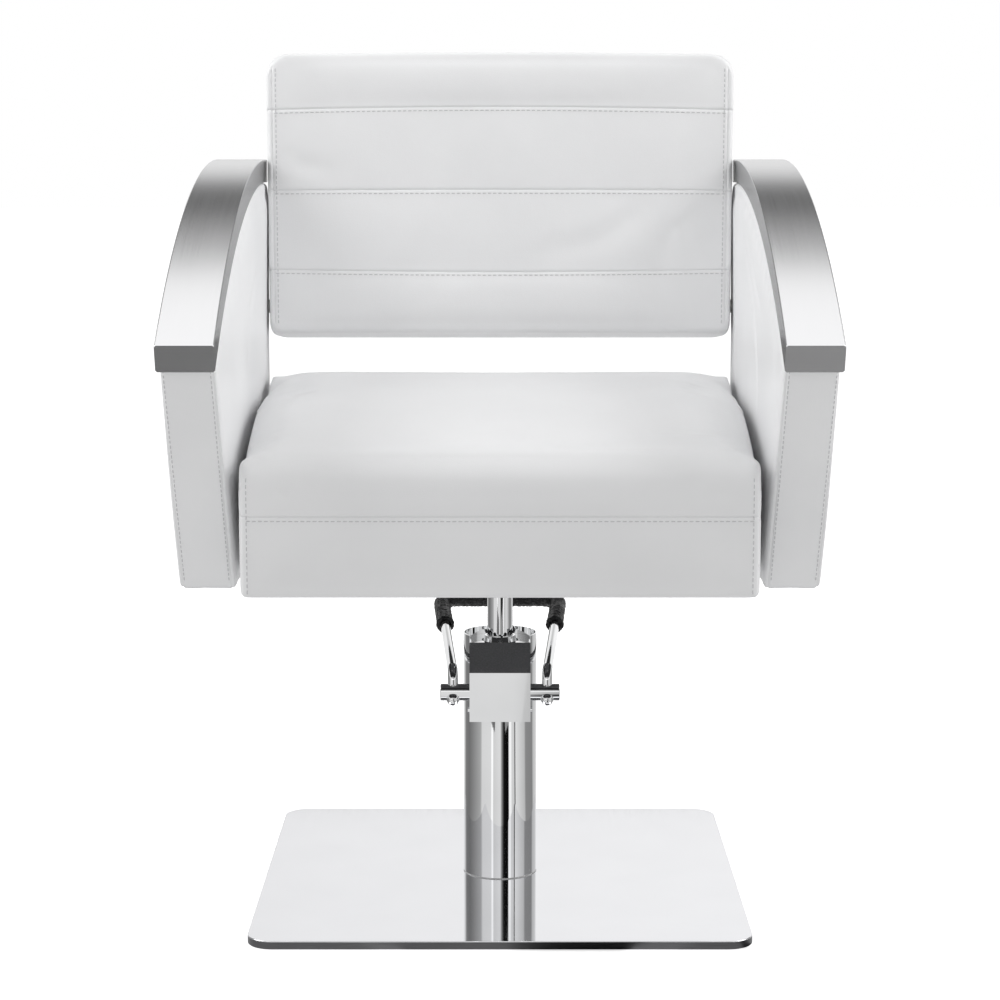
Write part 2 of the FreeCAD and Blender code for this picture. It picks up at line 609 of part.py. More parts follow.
def seat_outer():
    """The seat pad's outside: a side profile with a rolled front, narrowed a little to the front."""
    half = SEAT_HALF_WIDTH
    reach = Vector(2 * half, 0, 0)
    foot_front = Vector(-half, SEAT_FRONT, SEAT_BOTTOM)
    roll_height = SEAT_ROLL_END_Z - SEAT_ROLL_START_Z
    bulge = math.sqrt(0.5)
    roll_start = Vector(-half, SEAT_FRONT, SEAT_ROLL_START_Z)
    roll_middle = Vector(
        -half,
        SEAT_FRONT + SEAT_ROLL_DEPTH * (1 - bulge),
        SEAT_ROLL_START_Z + roll_height * SEAT_ROLL_MIDDLE,
    )
    roll_end = Vector(-half, SEAT_FRONT + SEAT_ROLL_DEPTH, SEAT_ROLL_END_Z)
    crown = Vector(-half, SEAT_CREST_Y, SEAT_CREST_Z)
    rear_top = Vector(-half, SEAT_BACK - SEAT_REAR_ROUND, SEAT_REAR_EDGE_Z)
    rear_turn = Vector(
        -half,
        SEAT_BACK - SEAT_REAR_ROUND * (1 - bulge),
        SEAT_REAR_EDGE_Z - SEAT_REAR_ROUND * (1 - bulge),
    )
    rear_end = Vector(-half, SEAT_BACK, SEAT_REAR_EDGE_Z - SEAT_REAR_ROUND)
    foot_back = Vector(-half, SEAT_BACK, SEAT_BOTTOM)
    side = filled(
        [
            line(foot_front, roll_start),
            arc(roll_start, roll_middle, roll_end),
            arc(roll_end, crown, rear_top),
            arc(rear_top, rear_turn, rear_end),
            line(rear_end, foot_back),
            line(foot_back, foot_front),
        ],
        reach,
    )
    front_half = SEAT_FRONT_HALF_WIDTH
    plan = [
        Vector(-front_half, SEAT_FRONT, SEAT_BOTTOM),
        Vector(front_half, SEAT_FRONT, SEAT_BOTTOM),
        Vector(half, 0, SEAT_BOTTOM),
        Vector(half, SEAT_BACK, SEAT_BOTTOM),
        Vector(-half, SEAT_BACK, SEAT_BOTTOM),
        Vector(-half, 0, SEAT_BOTTOM),
    ]
    column = Part.Face(Part.makePolygon(plan + plan[:1])).extrude(Vector(0, 0, SEAT_CREST_Z - SEAT_BOTTOM + BEYOND))
    column = column.makeFillet(SEAT_FRONT_CORNER, upright_edges(column, SEAT_FRONT - 1, SEAT_FRONT + 1))
    column = column.makeFillet(SEAT_REAR_CORNER, upright_edges(column, SEAT_BACK - 1, SEAT_BACK + 1))
    return side.common(column)


def hexagon_head(x, y, top):
    """A hexagon bolt's head, hanging below a height."""
    corners = []
    for k in range(7):
        turn = math.radians(60 * k)
        place = Vector(math.cos(turn), math.sin(turn), 0) * HEXAGON_RADIUS
        corners.append(place + Vector(x, y, top - HEXAGON_HEIGHT))
    return Part.Face(Part.makePolygon(corners)).extrude(Vector(0, 0, HEXAGON_HEIGHT))


def make_seat():
    board_x = (-BOARD_HALF_WIDTH, BOARD_HALF_WIDTH)
    board = block(board_x, (BOARD_FRONT, BOARD_BACK), (SEAT_BOTTOM, BOARD_TOP))
    rails = []
    for side in (-1, 1):
        ends = sorted((side * (BOARD_HALF_WIDTH - RAIL_SECTION[0]), side * BOARD_HALF_WIDTH))
        rails.append(block(ends, RAIL_Y, (BOARD_TOP, BOARD_TOP + RAIL_SECTION[1])))
    pad = seat_outer().cut(board)
    for rail in rails:
        pad = pad.cut(rail)

    plate_top = SEAT_BOTTOM
    plate_bottom = plate_top - MOUNT_PLATE_THICKNESS
    plate_half = MOUNT_PLATE_SIZE / 2
    mount_plate = rounded_slab(plate_half, plate_half, plate_bottom, plate_top, MOUNT_PLATE_CORNER)
    bolts = []
    inserts = []
    for x, y in MOUNT_BOLT_PLACES:
        hole = cylinder(BOLT_RADIUS + CLEARANCE, plate_bottom - BEYOND, plate_top + BEYOND, x, y)
        mount_plate = mount_plate.cut(hole)
        insert_top = SEAT_BOTTOM + INSERT_LENGTH
        board = board.cut(cylinder(INSERT_RADIUS, SEAT_BOTTOM, insert_top, x, y))
        inserts.append(tube(INSERT_RADIUS, BOLT_RADIUS, SEAT_BOTTOM, insert_top, x, y))
        head = hexagon_head(x, y, plate_bottom)
        shank = cylinder(BOLT_RADIUS, plate_bottom - 1, insert_top - 1, x, y)
        bolts.append(head.fuse(shank).removeSplitter())
    save("seat_mount_plate", mount_plate)
    save("mount_bolts", *bolts)
    save("seat_board", board)

    cover_half = BOARD_HALF_WIDTH - DUST_COVER_MARGIN
    cover_y = (BOARD_FRONT + DUST_COVER_MARGIN, BOARD_BACK - DUST_COVER_MARGIN)
    sheet_z = (SEAT_BOTTOM - DUST_COVER_THICKNESS, SEAT_BOTTOM)
    sheet = block((-cover_half, cover_half), cover_y, sheet_z)
    window = plate_half + DUST_COVER_WINDOW_GAP
    opening = block((-window, window), (-window, window), (plate_bottom, BOARD_TOP))
    save("seat_dust_cover", sheet.cut(opening))

    socket = Part.makeCone(
        SOCKET_FOOT_RADIUS, SOCKET_TOP_RADIUS, plate_bottom - SOCKET_BOTTOM,
        Vector(0, 0, SOCKET_BOTTOM), UP,
    )
    save("seat_socket", socket.cut(cylinder(ROD_RADIUS, SOCKET_BOTTOM - 1, plate_bottom + 1)))
    rod = cylinder(ROD_RADIUS, PISTON_BOTTOM + PISTON_HEIGHT, plate_bottom)
    save("lift_rod", rod)

    rail_holes = []
    for side in (-1, 1):
        for y, z in SEAT_BOLTS:
            rail_holes.append((side, y, z))
    for side, y, z in rail_holes:
        pad = pad.cut(side_cylinder(SLEEVE_RADIUS, side, BOARD_HALF_WIDTH, SEAT_HALF_WIDTH + 5, y, z))
        index = 0 if side < 0 else 1
        near = BOARD_HALF_WIDTH - INSERT_LENGTH
        rails[index] = rails[index].cut(side_cylinder(INSERT_RADIUS, side, near, BOARD_HALF_WIDTH, y, z))
        inserts.append(insert_at(side, BOARD_HALF_WIDTH, y, z))
    save("seat_side_rails", *rails)
    save("seat_cushion", pad)
    return inserts


def insert_at(side, outer, y, z):
    """A threaded insert lying along X, with its mouth at a distance from the middle."""
    near = outer - INSERT_LENGTH
    outside = side_cylinder(INSERT_RADIUS, side, near, outer, y, z)
    return outside.cut(side_cylinder(BOLT_RADIUS, side, near - 1, outer + 1, y, z))


# ---------------------------------------------------------------- arms
def arc_point(radius, y):
    """The height of the arm's arc at a Y, for a radius about the arc's centre."""
    return ARC_CENTRE_Z + math.sqrt(radius * radius - (y - ARC_CENTRE_Y) ** 2)


def nose_line(radius):
    """Where the arm's slanted front cut meets an arc of the given radius."""
    top_z = arc_point(ARC_RADIUS, NOSE_Y)
    y = NOSE_Y
    for _ in range(30):
        z = arc_point(radius, y)
        y = NOSE_Y + (top_z - z) * math.tan(math.radians(NOSE_CUT_DEG))
    return y


def arc_edge(x, radius, front_y, back_y):
    """A piece of the arm's arc in the plane of one X."""
    ys = (front_y, (front_y + back_y) / 2, back_y)
    return arc(*[Vector(x, y, arc_point(radius, y)) for y in ys])


def strap_solid(outer_radius, inner_radius, x_low, x_high, front_inset=0.0):
    """A band of the arm's arc between two radii."""
    front_outer = nose_line(outer_radius) + front_inset
    front_inner = nose_line(inner_radius) + front_inset
    outer = arc_edge(x_low, outer_radius, front_outer, ARM_BACK)
    inner = arc_edge(x_low, inner_radius, front_inner, ARM_BACK)
    corners = [
        Vector(x_low, front_outer, arc_point(outer_radius, front_outer)),
        Vector(x_low, front_inner, arc_point(inner_radius, front_inner)),
        Vector(x_low, ARM_BACK, arc_point(outer_radius, ARM_BACK)),
        Vector(x_low, ARM_BACK, arc_point(inner_radius, ARM_BACK)),
    ]
    edges = [outer, inner, line(corners[0], corners[1]), line(corners[2], corners[3])]
    return filled(edges, Vector(x_high - x_low, 0, 0))


def panel_solid(x_low, x_high, margin, top_radius, foot_corner):
    """An arm's side shape under the strap, moved inwards by a margin at the front, back and foot."""
    front_top = nose_line(top_radius) + PANEL_SETBACK + margin
    front_foot = ARM_FOOT_FRONT + margin
    back = ARM_BACK - margin
    foot = ARM_BOTTOM + margin
    outline = [
        arc_edge(x_low, top_radius, front_top, back),
        line(Vector(x_low, back, arc_point(top_radius, back)), Vector(x_low, back, foot)),
        line(Vector(x_low, back, foot), Vector(x_low, front_foot, foot)),
        line(Vector(x_low, front_foot, foot), Vector(x_low, front_top, arc_point(top_radius, front_top))),
    ]
    solid = filled(outline, Vector(x_high - x_low, 0, 0))
    if foot_corner:
        low_edges = []
        for edge in solid.Edges:
            bounds = edge.BoundBox
            if bounds.XLength > 1 and bounds.ZMax < foot + 0.01:
                low_edges.append(edge)
        solid = solid.makeFillet(foot_corner, low_edges)
    return solid


def side_range(side, near, far):
    """Two distances from the middle as a (low, high) pair of X."""
    return sorted((side * near, side * far))


def make_arms():
    core_inner = (ARM_INNER + ARM_OUTER - CORE_THICKNESS) / 2
    core_outer = core_inner + CORE_THICKNESS
    under_strap = ARC_RADIUS - STRAP_THICKNESS
    washer_face = ARM_OUTER - RECESS_DEPTH
    bolts = []
    washers = []
    sleeves = []
    screws = []
    for name, side in SIDES:
        outer_x = side_range(side, ARM_INNER, ARM_OUTER)
        strap = strap_solid(ARC_RADIUS, under_strap, outer_x[0], outer_x[1])
        hollow_x = (outer_x[0] + STRAP_WALL, outer_x[1] - STRAP_WALL)
        hollow_radii = (ARC_RADIUS - STRAP_WALL, under_strap + STRAP_WALL)
        inside = strap_solid(*hollow_radii, *hollow_x, NOSE_WALL)
        trim = block(hollow_x, (ARM_BACK - STRAP_WALL, ARM_BACK + 1), (0, 1000))
        strap = strap.cut(inside.cut(trim))

        core_x = side_range(side, core_inner, core_outer)
        core = panel_solid(core_x[0], core_x[1], CORE_MARGIN, under_strap, 0.0)
        cover = panel_solid(outer_x[0], outer_x[1], 0.0, under_strap, PANEL_FOOT_CORNER)
        rounded = []
        for edge in cover.Edges:
            bounds = edge.BoundBox
            straight = len(edge.Vertexes) == 2 and edge.Curve.TypeId == "Part::GeomLine"
            if straight and bounds.XLength < 0.01 and bounds.ZLength > 60 and bounds.YMax < 0:
                rounded.append(edge)
        cover = cover.makeFillet(PANEL_FRONT_ROUND, rounded)
        cover = cover.cut(core)

        for y in STRAP_SCREW_YS:
            z = arc_point(under_strap, y)
            slope = math.asin((ARC_CENTRE_Y - y) / under_strap)
            outward = Vector(0, -math.sin(slope), math.cos(slope))
            middle = side * (core_inner + core_outer) / 2
            seat = Vector(middle, y, z)
            tip = seat - outward * STRAP_SCREW_LENGTH
            through = STRAP_SCREW_LENGTH + STRAP_WALL
            shank = Part.makeCylinder(STRAP_SCREW_RADIUS, through, tip, outward)
            head_seat = seat + outward * STRAP_WALL
            head = Part.makeCylinder(STRAP_SCREW_HEAD_RADIUS, STRAP_SCREW_HEAD_HEIGHT, head_seat, outward)
            hole = Part.makeCylinder(STRAP_SCREW_RADIUS + CLEARANCE, through + STRAP_WALL, tip, outward)
            strap = strap.cut(hole)
            core = core.cut(hole)
            screws.append(shank.fuse(head).removeSplitter())

        anchored = [(place, BOARD_HALF_WIDTH) for place in SEAT_BOLTS]
        anchored += [(place, FRAME_HALF_WIDTH) for place in BACK_BOLTS]
        for (y, z), anchor in anchored:
            shank = side_cylinder(BOLT_RADIUS, side, anchor - INSERT_LENGTH + 1, washer_face + 3, y, z)
            outward = Vector(side, 0, 0)
            face = Vector(side * (washer_face + WASHER_THICKNESS), y, z)
            button = Part.makeCone(HEAD_RADIUS_M8, HEAD_RADIUS_M8 - HEAD_TAPER, HEAD_HEIGHT, face, outward)
            key_floor = face + outward * (HEAD_HEIGHT - KEY_DEPTH)
            socket = Part.makeCylinder(KEY_RADIUS, HEAD_HEIGHT, key_floor, outward)
            bolts.append(shank.fuse(button).cut(socket).removeSplitter())
            disc = side_cylinder(WASHER_RADIUS, side, washer_face, washer_face + WASHER_THICKNESS, y, z)
            bore = side_cylinder(BOLT_RADIUS + CLEARANCE, side, core_inner - 5, ARM_OUTER + 5, y, z)
            washers.append(disc.cut(bore))
            sleeve = side_cylinder(SLEEVE_RADIUS, side, anchor, core_inner, y, z)
            sleeve_bore = side_cylinder(BOLT_RADIUS + CLEARANCE, side, anchor - 1, core_inner + 1, y, z)
            sleeves.append(sleeve.cut(sleeve_bore))
            cover = cover.cut(side_cylinder(SLEEVE_RADIUS, side, ARM_INNER - 5, core_inner, y, z))
            cover = cover.cut(bore)
            recess = side_cylinder(WASHER_RADIUS + RECESS_GAP, side, washer_face, ARM_OUTER + 5, y, z)
            cover = cover.cut(recess)
            core = core.cut(bore)
        save("arm_strap_" + name, strap)
        save("arm_core_" + name, core)
        save("arm_upholstery_" + name, cover)
    save("strap_screws", *screws)
    save("arm_bolts", *bolts)
    save("arm_washers", *washers)
    save("arm_sleeves", *sleeves)


# ---------------------------------------------------------------- backrest
def back_slab(front, rear, inset, corner):
    """An upright slab of the backrest between two depths, wider at the top."""
    low = BACK_HALF_WIDTH_LOW - inset
    top = BACK_HALF_WIDTH_TOP - inset
    outline = [
        Vector(-low, front, inset),
        Vector(low, front, inset),
        Vector(top, front, BACK_HEIGHT - inset),
        Vector(-top, front, BACK_HEIGHT - inset),
    ]
    slab = Part.Face(Part.makePolygon(outline + outline[:1])).extrude(Vector(0, rear - front, 0))
    edges = [edge for edge in slab.Edges if edge.BoundBox.YLength > 0.9 * (rear - front)]
    return slab.makeFillet(corner, edges)


def make_backrest():
    front = back_slab(0.0, BACK_FRONT_THICKNESS, 0.0, BACK_CORNER)
    face_edges = [edge for edge in front.Edges if edge.BoundBox.YMax < 0.01]
    front = front.makeFillet(BACK_FRONT_ROUND, face_edges)
    frame_depths = (FRAME_FRONT, BACK_FRONT_THICKNESS)
    window_x = (-FRAME_WINDOW_HALF_WIDTH, FRAME_WINDOW_HALF_WIDTH)
    window = block(window_x, frame_depths, FRAME_WINDOW_HEIGHTS)
    board = block((-FRAME_HALF_WIDTH, FRAME_HALF_WIDTH), frame_depths, FRAME_HEIGHTS).cut(window)
    front = leaned(front.cut(board))
    board = leaned(board)
    inserts = []
    for side in (-1, 1):
        for y, z in BACK_BOLTS:
            sleeve_end = BACK_HALF_WIDTH_TOP + BEYOND
            front = front.cut(side_cylinder(SLEEVE_RADIUS, side, FRAME_HALF_WIDTH, sleeve_end, y, z))
            near = FRAME_HALF_WIDTH - INSERT_LENGTH
            board = board.cut(side_cylinder(INSERT_RADIUS, side, near, FRAME_HALF_WIDTH, y, z))
            inserts.append(insert_at(side, FRAME_HALF_WIDTH, y, z))
    save("back_cushion", front)
    save("back_frame", board)

    total = BACK_FRONT_THICKNESS + BACK_REAR_THICKNESS
    rear = back_slab(BACK_FRONT_THICKNESS, total, BACK_REAR_INSET, BACK_CORNER)
    rear_edges = [edge for edge in rear.Edges if edge.BoundBox.YMin > total - 0.01]
    save("back_rear_pad", leaned(rear.makeFillet(BACK_REAR_ROUND, rear_edges)))
    return inserts


os.makedirs("parts", exist_ok=True)
make_base()
make_pump_head()
make_head_cover()
make_moving_hydraulics()
make_foot_lever()
seat_inserts = make_seat()
make_arms()
back_inserts = make_backrest()
save("threaded_inserts", *(seat_inserts + back_inserts))
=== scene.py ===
import math

import bmesh
import bpy
import numpy as np
from mathutils import Matrix, Vector, noise
from mathutils.bvhtree import BVHTree
from mathutils.kdtree import KDTree


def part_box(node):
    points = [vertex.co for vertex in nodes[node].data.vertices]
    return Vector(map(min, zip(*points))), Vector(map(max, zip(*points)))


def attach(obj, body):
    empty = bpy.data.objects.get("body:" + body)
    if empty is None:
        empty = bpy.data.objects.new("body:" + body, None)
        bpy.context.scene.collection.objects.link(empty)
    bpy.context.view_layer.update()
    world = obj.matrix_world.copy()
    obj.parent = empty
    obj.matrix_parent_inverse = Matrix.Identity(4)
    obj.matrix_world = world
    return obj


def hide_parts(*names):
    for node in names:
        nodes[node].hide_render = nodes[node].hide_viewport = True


# A hydraulic salon styling chair, in metres: +Z up, the sitter faces -Y.
# The metal pieces are the frame's own; the cushions, arm pads and arm bands are made here.
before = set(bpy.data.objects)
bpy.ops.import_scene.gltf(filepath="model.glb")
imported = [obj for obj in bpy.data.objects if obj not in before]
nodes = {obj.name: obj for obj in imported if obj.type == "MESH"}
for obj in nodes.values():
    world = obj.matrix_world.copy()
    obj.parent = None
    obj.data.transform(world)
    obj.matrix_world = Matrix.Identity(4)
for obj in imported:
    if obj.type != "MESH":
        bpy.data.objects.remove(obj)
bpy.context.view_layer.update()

MM = 0.001


# -------- driving shapes, from the frame
seat_low, seat_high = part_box("seat_cushion")
arm_low, arm_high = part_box("arm_upholstery_right")
strap_low, strap_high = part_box("arm_strap_right")
_, back_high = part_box("back_cushion")

BACK_LEAN = math.radians(11.7)
BACK_FOOT = Vector((0.0, 200.0 * MM, 550.0 * MM))
BACK_HEIGHT = 311.0 * MM
BACK_HALF_LOW = 251.5 * MM
BACK_HALF_TOP = back_high.x
BACK_FRONT_DEPTH = 42.0 * MM
BACK_REAR_DEPTH = 24.0 * MM

ARC_CENTRE = Vector((0.0, 245.0 * MM, -184.4 * MM))
ARC_RADIUS = 922.0 * MM
STRAP_THICKNESS = 25.0 * MM
NOSE_Y = strap_low.y
NOSE_CUT = math.radians(19.0)
PANEL_SETBACK = 7.0 * MM
ARM_FOOT_FRONT = -128.0 * MM
STRAP_HALF = (strap_high.x - strap_low.x) / 2
ARM_MIDDLE = (strap_high.x + strap_low.x) / 2

SEAT_SEAM_Z = 412.0 * MM
BACK_SEAM_HEIGHTS = (71.0 * MM, 158.0 * MM, 247.0 * MM)


# -------- materials
def add_node(tree, kind, inputs, **settings):
    """Adds a node. Inputs, by name or number, are constants or the outputs of other nodes."""
    node = tree.nodes.new(kind)
    for key, value in settings.items():
        setattr(node, key, value)
    for key, value in inputs.items():
        if isinstance(value, bpy.types.NodeSocket):
            tree.links.new(value, node.inputs[key])
        else:
            node.inputs[key].default_value = value
    return node


class Shader:
    """A node material with a Principled shader and short calls for the nodes that feed it."""

    def __init__(self, name):
        self.material = bpy.data.materials.new(name)
        self.material.use_nodes = True
        self.tree = self.material.node_tree
        self.principled = self.tree.nodes["Principled BSDF"]
        self.place = self.tree.nodes.new("ShaderNodeTexCoord").outputs["Object"]

    def set(self, **values):
        """Sets constants on the Principled shader's own sockets."""
        for key, value in values.items():
            self.principled.inputs[key.replace("_", " ")].default_value = value
        return self

    def drive(self, name, source):
        """Links a value to one of the Principled shader's sockets."""
        self.tree.links.new(source, self.principled.inputs[name])
        return self

    def mapped(self, scale, source=None):
        """Coordinates stretched by a factor on each axis: the object's own if no others are given."""
        inputs = {"Scale": scale, "Vector": source or self.place}
        return add_node(self.tree, "ShaderNodeMapping", inputs).outputs["Vector"]

    def noise(self, scale, detail=3.0, roughness=0.5, vector=None, distortion=0.0):
        inputs = {"Scale": scale, "Detail": detail, "Roughness": roughness, "Distortion": distortion}
        inputs["Vector"] = vector or self.place
        return add_node(self.tree, "ShaderNodeTexNoise", inputs).outputs["Fac"]

    def cells(self, scale, feature="F1"):
        inputs = {"Scale": scale, "Vector": self.place}
        return add_node(self.tree, "ShaderNodeTexVoronoi", inputs, feature=feature).outputs["Distance"]

    def math(self, operation, first, second):
        inputs = {0: first, 1: second}
        return add_node(self.tree, "ShaderNodeMath", inputs, operation=operation).outputs["Value"]

    def colours(self, source, low, high, dark, light):
        """A colour that runs from dark to light as a value goes from low to high."""
        node = add_node(self.tree, "ShaderNodeValToRGB", {"Fac": source})
        for element, position, colour in zip(node.color_ramp.elements, (low, high), (dark, light)):
            element.position = position
            element.color = (*colour, 1.0)
        return self.drive("Base Color", node.outputs["Color"])

    def rough(self, source, low, high):
        """Roughness that runs between two values as a texture goes from 0.3 to 0.7."""
        inputs = {"Value": source, "From Min": 0.3, "From Max": 0.7, "To Min": low, "To Max": high}
        return self.drive("Roughness", add_node(self.tree, "ShaderNodeMapRange", inputs).outputs["Result"])

    def bump(self, height, distance, strength=1.0):
        inputs = {"Height": height, "Distance": distance, "Strength": strength}
        return self.drive("Normal", add_node(self.tree, "ShaderNodeBump", inputs).outputs["Normal"])


def metal(name, dark, light, rough, grain=(1.0, 1.0, 1.0), grain_scale=400.0, bump=0.0):
    """A metal whose tone, roughness and fine marks vary over the surface."""
    shader = Shader(name)
    shader.set(Metallic=1.0)
    streaks = shader.noise(grain_scale, 4.0, 0.6, shader.mapped(grain))
    patches = shader.noise(14.0, 2.0)
    shader.colours(patches, 0.3, 0.7, dark, light)
    shader.rough(streaks, *rough)
    if bump:
        shader.bump(streaks, bump, 0.5)
    return shader.material


def make_vinyl():
    """Smooth white upholstery vinyl with a fine pebble grain and faint tonal drift."""
    shader = Shader("white_vinyl_soft")
    shader.set(Specular_IOR_Level=0.42, Coat_Weight=0.10, Coat_Roughness=0.32)
    drift = shader.noise(6.0, 3.0, 0.55)
    shader.colours(drift, 0.3, 0.7, (0.815, 0.818, 0.825), (0.862, 0.864, 0.870))
    pebbles = shader.cells(1150.0)
    pores = shader.noise(2600.0, 2.0)
    buckle = shader.noise(38.0, 3.0, 0.5)
    shader.rough(drift, 0.36, 0.46)
    grain = shader.math("ADD", pebbles, shader.math("MULTIPLY", pores, 0.5))
    grain = shader.math("ADD", grain, shader.math("MULTIPLY", buckle, 3.0))
    return shader.bump(grain, 0.00012, 0.55).material


def textured(name, texture, dark, light, rough, bump, relief=None, **settings):
    """A material whose tone and roughness follow one texture, and whose relief follows it or another.

    texture and relief are functions of the shader; bump is (distance, strength)."""
    shader = Shader(name)
    shader.set(**settings)
    drawn = texture(shader)
    shader.colours(drawn, 0.3, 0.7, dark, light)
    shader.rough(drawn, *rough)
    return shader.bump(relief(shader) if relief else drawn, *bump).material


def make_strap_steel(name, dark, light):
    """Brushed stainless steel, with the brush lines running along the arm."""
    shader = Shader(name)
    shader.set(Metallic=1.0, Anisotropic=0.25)
    uv = shader.tree.nodes.new("ShaderNodeTexCoord").outputs["UV"]
    fine = shader.noise(1.0, 5.0, 0.7, shader.mapped((9.0, 5200.0, 1.0), uv))
    coarse = shader.noise(1.0, 3.0, 0.6, shader.mapped((3.0, 900.0, 1.0), uv))
    lines = shader.math("ADD", shader.math("MULTIPLY", fine, 0.65), shader.math("MULTIPLY", coarse, 0.35))
    shader.colours(lines, 0.25, 0.75, (dark, dark, dark * 1.01), (light, light, light * 1.01))
    shader.rough(lines, 0.17, 0.24)
    tangent = add_node(shader.tree, "ShaderNodeTangent", {}, direction_type="UV_MAP")
    shader.drive("Tangent", tangent.outputs["Tangent"])
    return shader.bump(lines, 0.00002, 0.25).material


def make_grip_rubber():
    """Black moulded rubber with a coarse non-slip pebble."""
    shader = Shader("pebbled_grip")
    shader.set(Specular_IOR_Level=0.4)
    pebbles = shader.cells(520.0, "SMOOTH_F1")
    dust = shader.noise(60.0, 3.0)
    shader.colours(dust, 0.3, 0.75, (0.012, 0.012, 0.013), (0.030, 0.030, 0.031))
    shader.rough(dust, 0.30, 0.44)
    return shader.bump(pebbles, 0.0009, 0.9).material


def make_soft_rubber(name, dark, light):
    """Plain dull rubber for seals and the mat."""
    return textured(name, lambda shader: shader.noise(180.0, 3.0), dark, light, (0.6, 0.8), (0.0002, 0.4))


VINYL = make_vinyl()
# The white thread is painted mid grey, as painted shade for the shadows of the stitch holes.
THREAD = textured(
    "thread_painted_grey_shade", lambda shader: shader.noise(4200.0, 2.0),
    (0.50, 0.50, 0.51), (0.68, 0.68, 0.69), (0.6, 0.8), (0.0001, 0.6), Specular_IOR_Level=0.2,
)
STRAP_STEEL = make_strap_steel("brushed_strap", 0.66, 0.76)
# The band's side faces use the same steel painted far darker, as a painted dark reflection.
STRAP_SIDE_PAINTED_DARK = make_strap_steel("brushed_strap_sides_painted_dark", 0.26, 0.34)
# The plate's cut edge is ground steel, duller than the polished faces; its colour is painted far darker
# than steel, a painted dark reflection along the edge.
PLATE_EDGE_PAINTED_DARK = textured(
    "ground_plate_edge_painted_dark", lambda shader: shader.noise(60.0, 4.0, 0.6, shader.mapped((1.0, 1.0, 60.0))),
    (0.095, 0.095, 0.10), (0.15, 0.15, 0.155), (0.28, 0.42), (0.00004, 0.4), Metallic=1.0,
)
PLYWOOD = textured(
    "birch_plywood", lambda shader: shader.noise(9.0, 4.0, 0.6, shader.mapped((1.0, 9.0, 40.0)), 0.6),
    (0.42, 0.27, 0.14), (0.66, 0.48, 0.29), (0.55, 0.75), (0.0003, 0.4),
)
# Thin black non-woven cloth, with its bonded spots as relief.
DUST_CLOTH = textured(
    "spunbond_cloth", lambda shader: shader.noise(900.0, 4.0, 0.7),
    (0.012, 0.012, 0.013), (0.045, 0.045, 0.047), (0.75, 0.95), (0.0004, 0.6),
    lambda shader: shader.cells(420.0), Specular_IOR_Level=0.15,
)
CAST_IRON = textured(
    "painted_casting", lambda shader: shader.noise(700.0, 4.0, 0.7),
    (0.05, 0.05, 0.052), (0.10, 0.10, 0.104), (0.45, 0.62), (0.0003, 0.6), Metallic=0.3,
)
MIRROR = metal(
    "mirror_chrome", (0.86, 0.865, 0.87), (0.93, 0.935, 0.94), (0.02, 0.045), (1, 1, 0.2), 300.0
)
PLATE = metal(
    "polished_steel_plate", (0.845, 0.847, 0.868), (0.865, 0.867, 0.888), (0.04, 0.06), (1, 0.1, 1), 240.0
)
ZINC = metal(
    "zinc_plate", (0.52, 0.53, 0.52), (0.66, 0.66, 0.64), (0.3, 0.45), (1, 1, 1), 300.0, 0.00004
)
GROUND = metal(
    "ground_steel_bar", (0.50, 0.50, 0.51), (0.60, 0.60, 0.61), (0.16, 0.26), (1, 1, 30), 60.0, 0.00003
)
BRONZE = metal(
    "bearing_bronze", (0.50, 0.33, 0.16), (0.62, 0.42, 0.22), (0.25, 0.4), (1, 1, 1), 300.0, 0.00003
)
FINISHES = {
    "mat_rubber": make_soft_rubber("mat_black_rubber", (0.02, 0.02, 0.02), (0.04, 0.04, 0.04)),
    "polished_plate": PLATE,
    "chrome": MIRROR,
    "zinc_steel": ZINC,
    "strap_steel": STRAP_STEEL,
    "ground_steel": GROUND,
    "cast_head": CAST_IRON,
    "bronze": BRONZE,
    "seal_rubber": make_soft_rubber("seal_grey_rubber", (0.46, 0.46, 0.46), (0.56, 0.56, 0.56)),
    "grip_rubber": make_grip_rubber(),
    "plywood": PLYWOOD,
    "white_vinyl": VINYL,
    "dust_cloth": DUST_CLOTH,
}
for cad_piece in nodes.values():
    for place in cad_piece.material_slots:
        place.material = FINISHES[place.material.name.split(".")[0]]


# -------- mesh helpers
def add_object(name, mesh, material):
    """A new object in the scene, smooth shaded, with one material."""
    piece = bpy.data.objects.new(name, mesh)
    bpy.context.scene.collection.objects.link(piece)
    mesh.materials.clear()
    mesh.materials.append(material)
    for face in mesh.polygons:
        face.use_smooth = True
    return piece


def from_bmesh(name, bm, material):
    mesh = bpy.data.meshes.new(name)
    bm.to_mesh(mesh)
    bm.free()
    return add_object(name, mesh, material)


def evaluated_mesh(piece):
    """A piece's mesh with its modifiers worked in."""
    graph = bpy.context.evaluated_depsgraph_get()
    return bpy.data.meshes.new_from_object(piece.evaluated_get(graph), depsgraph=graph)


def with_modifier(piece, kind, **settings):
    """Adds a modifier, works it into the mesh and takes it off."""
    modifier = piece.modifiers.new(kind.lower(), kind)
    for key, value in settings.items():
        setattr(modifier, key, value)
    mesh = evaluated_mesh(piece)
    piece.modifiers.remove(modifier)
    piece.data = mesh
    return piece


def coordinates(mesh, kind="co"):
    """The places of a mesh's points, or another property with three values, as rows."""
    values = np.empty(len(mesh.vertices) * 3, np.float64)
    mesh.vertices.foreach_get(kind, values)
    return values.reshape(-1, 3)


def normals(mesh):
    return coordinates(mesh, "normal")


def set_coordinates(mesh, values):
    mesh.vertices.foreach_set("co", values.astype(np.float32).ravel())
    mesh.update()


def turned(points, centre, start, end, radius, steps):
    """Adds an arc of points about a centre, in degrees, leaving out its first point."""
    for step in range(1, steps + 1):
        angle = math.radians(start + (end - start) * step / steps)
        points.append((centre[0] + radius * math.cos(angle), centre[1] + radius * math.sin(angle)))
    return points


